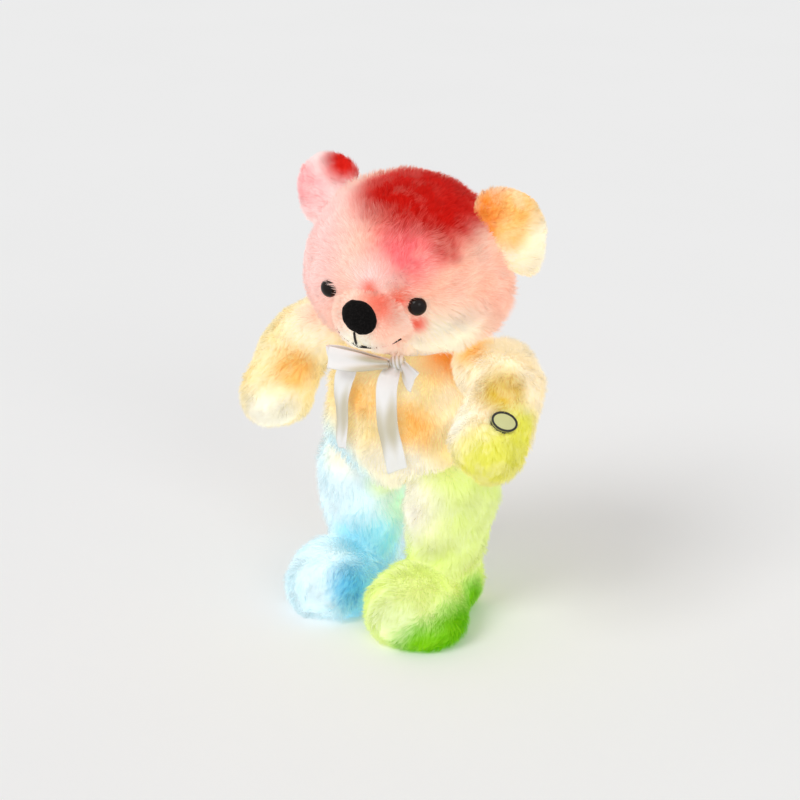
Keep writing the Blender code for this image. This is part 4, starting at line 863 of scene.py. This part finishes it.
def eased(rows):
    """A smooth run of rows through the given ones."""
    rows = np.array(rows, float)
    spread = np.vstack((2 * rows[0] - rows[1], rows, 2 * rows[-1] - rows[-2]))
    out = []
    for a, b, c, d in zip(spread, spread[1:], spread[2:], spread[3:]):
        for share in np.linspace(0, 1, STRIP_STEPS, endpoint=False):
            out.append(b + 0.5 * share * (c - a + share * (2 * a - 5 * b + 4 * c - d
                                                           + share * (3 * (b - c) + d - a))))
    return np.array(out + [rows[-1]])


class NIGHTLIGHT_OT_ribbon(bpy.types.Operator):
    """Lay the satin bow round the neck and down the chest"""
    bl_idname = "nightlight.ribbon"
    bl_label = "Ribbon"

    def execute(self, context):
        band()
        for node, course in (*LOOPS.items(), *TAILS.items()):
            strip(node, course)
        tie(middle("ribbon_knot"))
        return {"FINISHED"}


def band():
    """The neck band, a flat ring with soft gathers."""
    low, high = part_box("ribbon_band")
    radius = (high[0] - low[0]) / 2
    steps = 96
    line = []
    ways = []
    for step in range(steps + 1):
        angle = math.tau * step / steps
        out = Vector((math.cos(angle), math.sin(angle), 0.0))
        gather = 0.0005 * math.sin(angle * 17) + 0.0003 * math.sin(angle * 41)
        line.append(Vector((NECK.x, NECK.y, (low[2] + high[2]) / 2)) + out * (radius + 0.0008 + gather))
        ways.append((Vector((0.0, 0.0, 1.0)) + out * (0.06 + 0.05 * math.sin(angle * 29))).normalized())
    height = high[2] - low[2]
    obj = ribbon_piece(line, ways, [height] * len(line), "ribbon_band", (math.tau * radius, height))
    merge(obj.data, 0.00002)


def strip(node, course):
    """A loop or a tail: its course smoothed, its width gathered near the knot, its end cut on the slant."""
    rows = eased(course)
    rows[:, 1:4] *= MILLIMETRE
    line = []
    ways = []
    chest = tree_of(SKINS["torso"])
    for angle, out, height, _, lean, *yaw in rows:
        turn = math.radians(angle)
        away = Vector((math.sin(turn), -math.cos(turn), 0.0))
        side = Vector((math.cos(turn), math.sin(turn), 0.0))
        tip = math.radians(lean)
        centre = Vector((NECK.x, NECK.y, height))
        if node in TAILS:
            out += (chest.ray_cast(centre + away * CHEST_REACH, -away)[0] - centre).length
        line.append(centre + away * out)
        if yaw:
            side = side * math.cos(math.radians(yaw[0])) + away * math.sin(math.radians(yaw[0]))
        ways.append((Vector((0.0, 0.0, 1.0)) * math.cos(tip) + side * math.sin(tip)).normalized())
    for index, way in enumerate(ways):
        ahead = (line[min(index + 1, len(line) - 1)] - line[max(index - 1, 0)]).normalized()
        ways[index] = (way - ahead * way.dot(ahead)).normalized()
    length = sum((b - a).length for a, b in zip(line, line[1:]))
    held, rests, slant = ("hung", "torso_skin", END_SLANT) if node in TAILS else ("folded", "ribbon_knot", 0.0)
    ribbon_piece(line, ways, rows[:, 3], node, (sizes().ribbon, length), slant)


def tie(knot):
    """The knot, a pinched band of satin with soft folds."""
    obj = copy_of("ribbon_knot", "ribbon_knot_satin")
    apply(obj, "SUBSURF", levels=2, render_levels=2)
    places, normals = arrays(obj.data)
    facing = unit(np.array((knot.x - NECK.x, knot.y - NECK.y, 0.0)))
    side = np.array((-facing[1], facing[0], 0.0))
    across = (places - np.array(knot)) @ side
    up = places[:, 2] - knot.z
    wave = np.sin(across * 1500 + up * 300)
    places += normals * (KNOT_FOLD * wave * np.clip(1 - (across / KNOT_REACH) ** 2, 0, 1))[:, None]
    set_places(obj.data, places)
    obj.data.shade_smooth()
    # Painted shade in the knot's folds, kept in the fold attribute.
    shadow = 0.55 + 0.45 * wave
    obj.data.attributes.new("fold", "FLOAT", "POINT").data.foreach_set("value", shadow.astype(np.float32))
    lay_flat(obj.data, across, up)
    finish_piece(obj, satin_finish(), "ribbon_knot")
    RIBBONS.append(obj)


# Eyes, nose and mouth

EYE_RADIUS = 0.0090
EYE_FLATNESS = 0.80
THREAD_LEAN = 0.004
THREAD_SINK = 0.0012
NOSE_LEAN = 0.0045
NOSE_TAPER = 0.07


class NIGHTLIGHT_OT_face(bpy.types.Operator):
    """Make the eyes, the flocked nose and the mouth's thread"""
    bl_idname = "nightlight.face"
    bl_label = "Eyes, nose and mouth"

    def execute(self, context):
        eye_finish = worked("eye_gloss", (0.008, 0.004, 0.003), 0.12, grain=120.0, depth=0.000001)
        feed(eye_finish.node_tree.nodes["Principled BSDF"], {"Specular IOR Level": 0.2})
        for node in ("left_eye", "right_eye"):
            eye(node, eye_finish)
        nose()
        stitch()
        return {"FINISHED"}


def stitch():
    """The mouth's thread, thicker below the nose than in the smile."""
    obj = copy_of("mouth_stitch", "mouth_thread")
    places, normals = arrays(obj.data)
    centre = np.abs(places[:, 0] - NOSE.x) < THREAD_REACH
    places += normals * np.where(centre, 0.0005, 0.00005)[:, None]
    places[centre, 0] -= THREAD_LEAN
    sunk = places[:, 0] < NOSE.x - THREAD_REACH - THREAD_LEAN
    places[sunk] += unit(np.array(HEAD) - places[sunk]) * THREAD_SINK
    set_places(obj.data, places)
    obj.data.shade_smooth()
    thread = worked("mouth_cotton", (0.012, 0.006, 0.005), 0.75, grain=1800.0, depth=0.0001)
    finish_piece(obj, thread, "mouth_stitch")


def eye(node, finish):
    top = outer_pole(node)
    ends = poles(node)
    base = ends[0] if ends[1] == top else ends[1]
    axis = (top - base).normalized()
    obj = added(bpy.ops.mesh.primitive_uv_sphere_add, node + "_bead", segments=48, ring_count=24,
                radius=EYE_RADIUS)
    bpy.ops.object.mode_set(mode="EDIT")
    bpy.ops.mesh.select_all(action="SELECT")
    bpy.ops.mesh.bisect(plane_co=(0, 0, -0.001), plane_no=(0, 0, 1), clear_inner=True, use_fill=True)
    bpy.ops.mesh.select_all(action="SELECT")
    bpy.ops.transform.resize(value=(1.0, 1.0, EYE_FLATNESS), center_override=(0, 0, 0))
    bpy.ops.object.mode_set(mode="OBJECT")
    turn = Vector((0, 0, 1)).rotation_difference(axis).to_matrix().to_4x4()
    obj.data.transform(Matrix.Translation(top - axis * EYE_RADIUS * 0.77) @ turn)
    obj.data.shade_smooth()
    finish_piece(obj, finish, node)


def nose():
    """The flocked nose: rounded, broad above and narrower below."""
    obj = copy_of("nose", "nose_flock")
    apply(obj, "REMESH", mode="VOXEL", voxel_size=0.0009, use_smooth_shade=True)
    apply(obj, "SMOOTH", factor=0.5, iterations=6)
    places, normals = arrays(obj.data)
    centre = np.array(NOSE)
    up = np.clip((places[:, 2] - centre[2]) / 0.015, -1, 1)
    places[:, 0] += (places[:, 0] - centre[0]) * up * NOSE_TAPER - up * NOSE_LEAN
    places += normals * (waves(places, 0.012, 3)[:, :1] * 0.0003 + 0.0004)
    set_places(obj.data, places)
    material, tree, shader = new_material("nose_flocking")
    tint = tuple(shades().black)
    paler = tuple(value * 3.0 + 0.002 for value in tint)
    feed(shader, {"Base Color": mixed(tree, remap(tree, noise(tree, 700.0), 0.4, 0.75), tint, paler),
                  "Roughness": 0.95, "Sheen Weight": 0.03, "Specular IOR Level": 0.08})
    bump(tree, shader, noise(tree, 1500.0), 0.00025, 0.8)
    finish_piece(obj, material, "nose")


# Press patch

PLATE_THICKNESS = 0.0016


class NIGHTLIGHT_OT_patch(bpy.types.Operator):
    """Make the oval press patch with its stitched rim"""
    bl_idname = "nightlight.patch"
    bl_label = "Press patch"

    def execute(self, context):
        half_long, half_wide, half_thick, turn, centre = own_axes("press_patch", PRESS_AXIS)
        place = Matrix.Translation(centre - turn.col[2].to_3d() * half_thick) @ turn
        plate = added(bpy.ops.mesh.primitive_cylinder_add, "press_patch_vinyl", vertices=72, radius=1.0,
                      depth=PLATE_THICKNESS, location=(0, 0, PLATE_THICKNESS / 2))
        bpy.ops.object.transform_apply(location=True)
        bpy.ops.object.mode_set(mode="EDIT")
        bpy.ops.mesh.select_all(action="SELECT")
        bpy.ops.transform.resize(value=(half_long, half_wide, 1.0), center_override=(0, 0, 0))
        bpy.ops.object.mode_set(mode="OBJECT")
        apply(plate, "BEVEL", width=0.0004, segments=3, limit_method="ANGLE")
        plate.data.transform(place)
        plate.data.shade_smooth()
        vinyl = worked("patch_vinyl_face", (0.70, 0.70, 0.32), 0.45, grain=900.0, depth=0.00006)
        finish_piece(plate, vinyl, "press_patch")
        rim = sizes().patch_rim
        ring = added(bpy.ops.mesh.primitive_torus_add, "press_patch_rim", major_radius=1.0, minor_radius=0.1,
                     major_segments=120, minor_segments=12)
        reshape_ring(ring.data, half_long - rim, half_wide - rim, rim, PLATE_THICKNESS)
        ring.data.transform(place)
        ring.data.shade_smooth()
        dark = worked("rim_thread", (0.02, 0.02, 0.018), 0.7, grain=1500.0, depth=0.00015)
        finish_piece(ring, dark, "press_patch", False)
        return {"FINISHED"}


def reshape_ring(mesh, half_long, half_wide, rim, height):
    """Turns a unit ring into an oval cord with a satin-stitch ripple."""
    places, _ = arrays(mesh)
    angle = np.arctan2(places[:, 1], places[:, 0])
    out = np.hypot(places[:, 0], places[:, 1]) - 1.0
    ripple = 1.0 + 0.10 * np.sin(angle * 60)
    places[:, 0] = np.cos(angle) * (half_long + out / 0.1 * rim * ripple)
    places[:, 1] = np.sin(angle) * (half_wide + out / 0.1 * rim * ripple)
    places[:, 2] = places[:, 2] / 0.1 * rim * 0.6 * ripple + height
    set_places(mesh, places)


# Back panel

WELT_SIDE = 0.0052
WELT_WIDTH = 0.0014
WELT_HEIGHT = 0.0009


class NIGHTLIGHT_OT_panel(bpy.types.Operator):
    """Make the cloth panel that closes the battery pocket, with the welts beside the zip"""
    bl_idname = "nightlight.back_panel"
    bl_label = "Back panel"

    def execute(self, context):
        low, high = (Vector(corner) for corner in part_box("back_panel"))
        obj = added(bpy.ops.mesh.primitive_grid_add, "back_panel_cloth", x_subdivisions=60, y_subdivisions=60,
                    size=1.0)
        places, _ = arrays(obj.data)
        across, up = places[:, 0].copy(), places[:, 1].copy()
        wide, tall = high.x - low.x, high.z - low.z
        welt = np.exp(-((np.abs(across) * wide - WELT_SIDE) / WELT_WIDTH) ** 2) * WELT_HEIGHT
        puff = 0.0004 * np.sin(up * 40) * np.clip(np.abs(across) * wide / 0.02, 0, 1)
        places[:, 0] = (low.x + high.x) / 2 + across * wide
        places[:, 2] = (low.z + high.z) / 2 + up * tall
        places[:, 1] = high.y - 0.0006 + welt + puff
        set_places(obj.data, places)
        obj.data.flip_normals()
        obj.data.uv_layers.active.name = "cloth"
        apply(obj, "SOLIDIFY", thickness=0.0006, offset=-1.0)
        obj.data.shade_smooth()
        material, tree, shader = new_material("panel_weave")
        check = shader_node(tree, "TexBrick", {
            "Scale": 60.0, "Color1": (0.84, 0.79, 0.68), "Color2": (0.78, 0.73, 0.62),
            "Mortar": (0.62, 0.57, 0.48), "Vector": cloth_place(tree)})
        feed(shader, {"Base Color": check.outputs["Color"], "Roughness": 0.9})
        bump(tree, shader, check.outputs["Fac"], 0.0001)
        finish_piece(obj, material, "back_panel")
        return {"FINISHED"}


# Finishes of the solids that stay

SOLID_FINISHES = {
    "washer_plastic": ((0.80, 0.80, 0.77), 0.5, 0.0, 300.0, 0.00004),
    "case_plastic": ((0.86, 0.86, 0.83), 0.45, 0.0, 500.0, 0.00005),
    "cell_steel": ((0.60, 0.61, 0.62), 0.3, 1.0, 250.0, 0.00002),
    "spring_steel": ((0.70, 0.70, 0.71), 0.25, 1.0, 900.0, 0.00002),
    "board_resin": ((0.05, 0.26, 0.11), 0.5, 0.0, 700.0, 0.00005),
    "chip_resin": ((0.03, 0.03, 0.03), 0.6, 0.0, 900.0, 0.00003),
    "lead_vinyl": ((0.70, 0.08, 0.06), 0.5, 0.0, 500.0, 0.00003),
    "zip_nylon": ((0.86, 0.84, 0.80), 0.4, 0.0, 700.0, 0.00005),
    "zip_metal": ((0.70, 0.70, 0.71), 0.3, 1.0, 500.0, 0.00003),
    "switch_plastic": ((0.07, 0.07, 0.07), 0.5, 0.0, 500.0, 0.00004),
    "led_resin": ((0.92, 0.92, 0.92), 0.12, 0.0, 200.0, 0.00001),
}


class NIGHTLIGHT_OT_solids(bpy.types.Operator):
    """Give the zip, cells, board, leads and other solids that stay their finishes"""
    bl_idname = "nightlight.solids"
    bl_label = "Zip and inner parts"

    def execute(self, context):
        finishes = {slot: worked(slot + "_finish", tint, rough, metal, grain, depth)
                    for slot, (tint, rough, metal, grain, depth) in SOLID_FINISHES.items()}
        lamp = finishes["led_resin"].node_tree.nodes["Principled BSDF"]
        feed(lamp, {"Emission Color": (1.0, 0.9, 0.7), "Emission Strength": 1.0})
        for node, obj in frame["nodes"].items():
            finish = finishes.get(SLOT_OF[node])
            if finish:
                obj.data.materials.clear()
                obj.data.materials.append(finish)
        return {"FINISHED"}


# Stage

AZIMUTH = math.radians(35)
ELEVATION = math.radians(23)
DISTANCE = 1.8
AIM_HEIGHT = 0.24
FLOOR_SIZE = 30.0
SKY_STRENGTH = 0.62
KEY_STRENGTH = 0.95
FILL_STRENGTH = 0.35
LAMP_SPREAD = math.radians(28)


class NIGHTLIGHT_OT_stage(bpy.types.Operator):
    """Set the floor, the soft lamps and the camera"""
    bl_idname = "nightlight.stage"
    bl_label = "Stage"

    def execute(self, context):
        floor = added(bpy.ops.mesh.primitive_plane_add, "floor", size=FLOOR_SIZE)
        floor.data.materials.append(floor_finish())
        scene = context.scene
        scene.view_settings.view_transform = "Standard"
        world = bpy.data.worlds.new("studio")
        scene.world = world
        world.use_nodes = True
        tree = world.node_tree
        strength = remap(tree, seen_rays(tree), 0.0, 1.0, SKY_STRENGTH, 1.0)
        feed(tree.nodes["Background"], {"Color": (1.0, 1.0, 1.0), "Strength": strength})
        back_way = Vector((math.sin(AZIMUTH) * math.cos(ELEVATION), -math.cos(AZIMUTH) * math.cos(ELEVATION),
                           math.sin(ELEVATION)))
        right = Vector((math.cos(AZIMUTH), math.sin(AZIMUTH), 0.0))
        rise = back_way.cross(right)
        aim = Vector((NECK.x, NECK.y, AIM_HEIGHT)) - right * 0.011 - rise * 0.022
        camera_data = bpy.data.cameras.new("camera")
        camera_data.sensor_width = 36.0
        camera_data.lens = 36.0 * DISTANCE / 0.8
        scene.camera = new_object("camera", camera_data)
        scene.camera.location = aim + back_way * DISTANCE
        scene.camera.rotation_euler = facing_from(back_way)
        lamp("key", Vector((-0.35, -1.0, 1.15)), KEY_STRENGTH)
        lamp("fill", Vector((1.0, -0.55, 0.55)), FILL_STRENGTH)
        return {"FINISHED"}


def seen_rays(tree):
    """1 for rays that show the backdrop: straight, mirrored or through glass."""
    rays = tree.nodes.new("ShaderNodeLightPath").outputs
    seen = combined(tree, "MAXIMUM", rays["Is Camera Ray"], rays["Is Glossy Ray"])
    return combined(tree, "MAXIMUM", seen, rays["Is Transmission Ray"])


def floor_finish():
    material, tree, shader = new_material("floor_paint")
    feed(shader, {"Base Color": mixed(tree, noise(tree, 3.0), (0.93, 0.93, 0.93), (0.95, 0.95, 0.95)),
                  "Roughness": 0.95, "Specular IOR Level": 0.0})
    return material


def lamp(name, way, strength):
    """A broad, soft lamp that shines alike everywhere, from the given way."""
    data = bpy.data.lights.new(name, "SUN")
    data.angle = LAMP_SPREAD
    data.energy = strength
    new_object(name, data).rotation_euler = facing_from(way)


def facing_from(way):
    """The turn of a camera or lamp that looks back along a direction."""
    return (-way).to_track_quat("-Z", "Y").to_euler()


# Panel and registration

STEPS = ("stage", "solids", "skins", "ribbon", "face", "patch", "back_panel", "pile")


class NIGHTLIGHT_PT_build(bpy.types.Panel):
    """Sizes, colours and the steps that build the bear"""
    bl_idname = "NIGHTLIGHT_PT_build"
    bl_label = "Plush Bear Night Light"
    bl_space_type = "VIEW_3D"
    bl_region_type = "UI"
    bl_category = "Night Light"

    def draw(self, context):
        for group in (context.scene.bear_sizes, context.scene.bear_colours):
            for name in group.__annotations__:
                self.layout.prop(group, name)
        for step in STEPS:
            self.layout.operator("nightlight." + step)


CLASSES = (BearSizes, BearColours, NIGHTLIGHT_OT_stage, NIGHTLIGHT_OT_solids, NIGHTLIGHT_OT_skins,
           NIGHTLIGHT_OT_ribbon, NIGHTLIGHT_OT_face, NIGHTLIGHT_OT_patch, NIGHTLIGHT_OT_panel,
           NIGHTLIGHT_OT_pile, NIGHTLIGHT_PT_build)


def register():
    for item in CLASSES:
        bpy.utils.register_class(item)
    bpy.types.Scene.bear_sizes = PointerProperty(type=BearSizes)
    bpy.types.Scene.bear_colours = PointerProperty(type=BearColours)


def unregister():
    del bpy.types.Scene.bear_colours
    del bpy.types.Scene.bear_sizes
    for item in reversed(CLASSES):
        bpy.utils.unregister_class(item)


def main():
    register()
    for step in STEPS:
        getattr(bpy.ops.nightlight, step)()


if __name__ == "__main__":
    main()
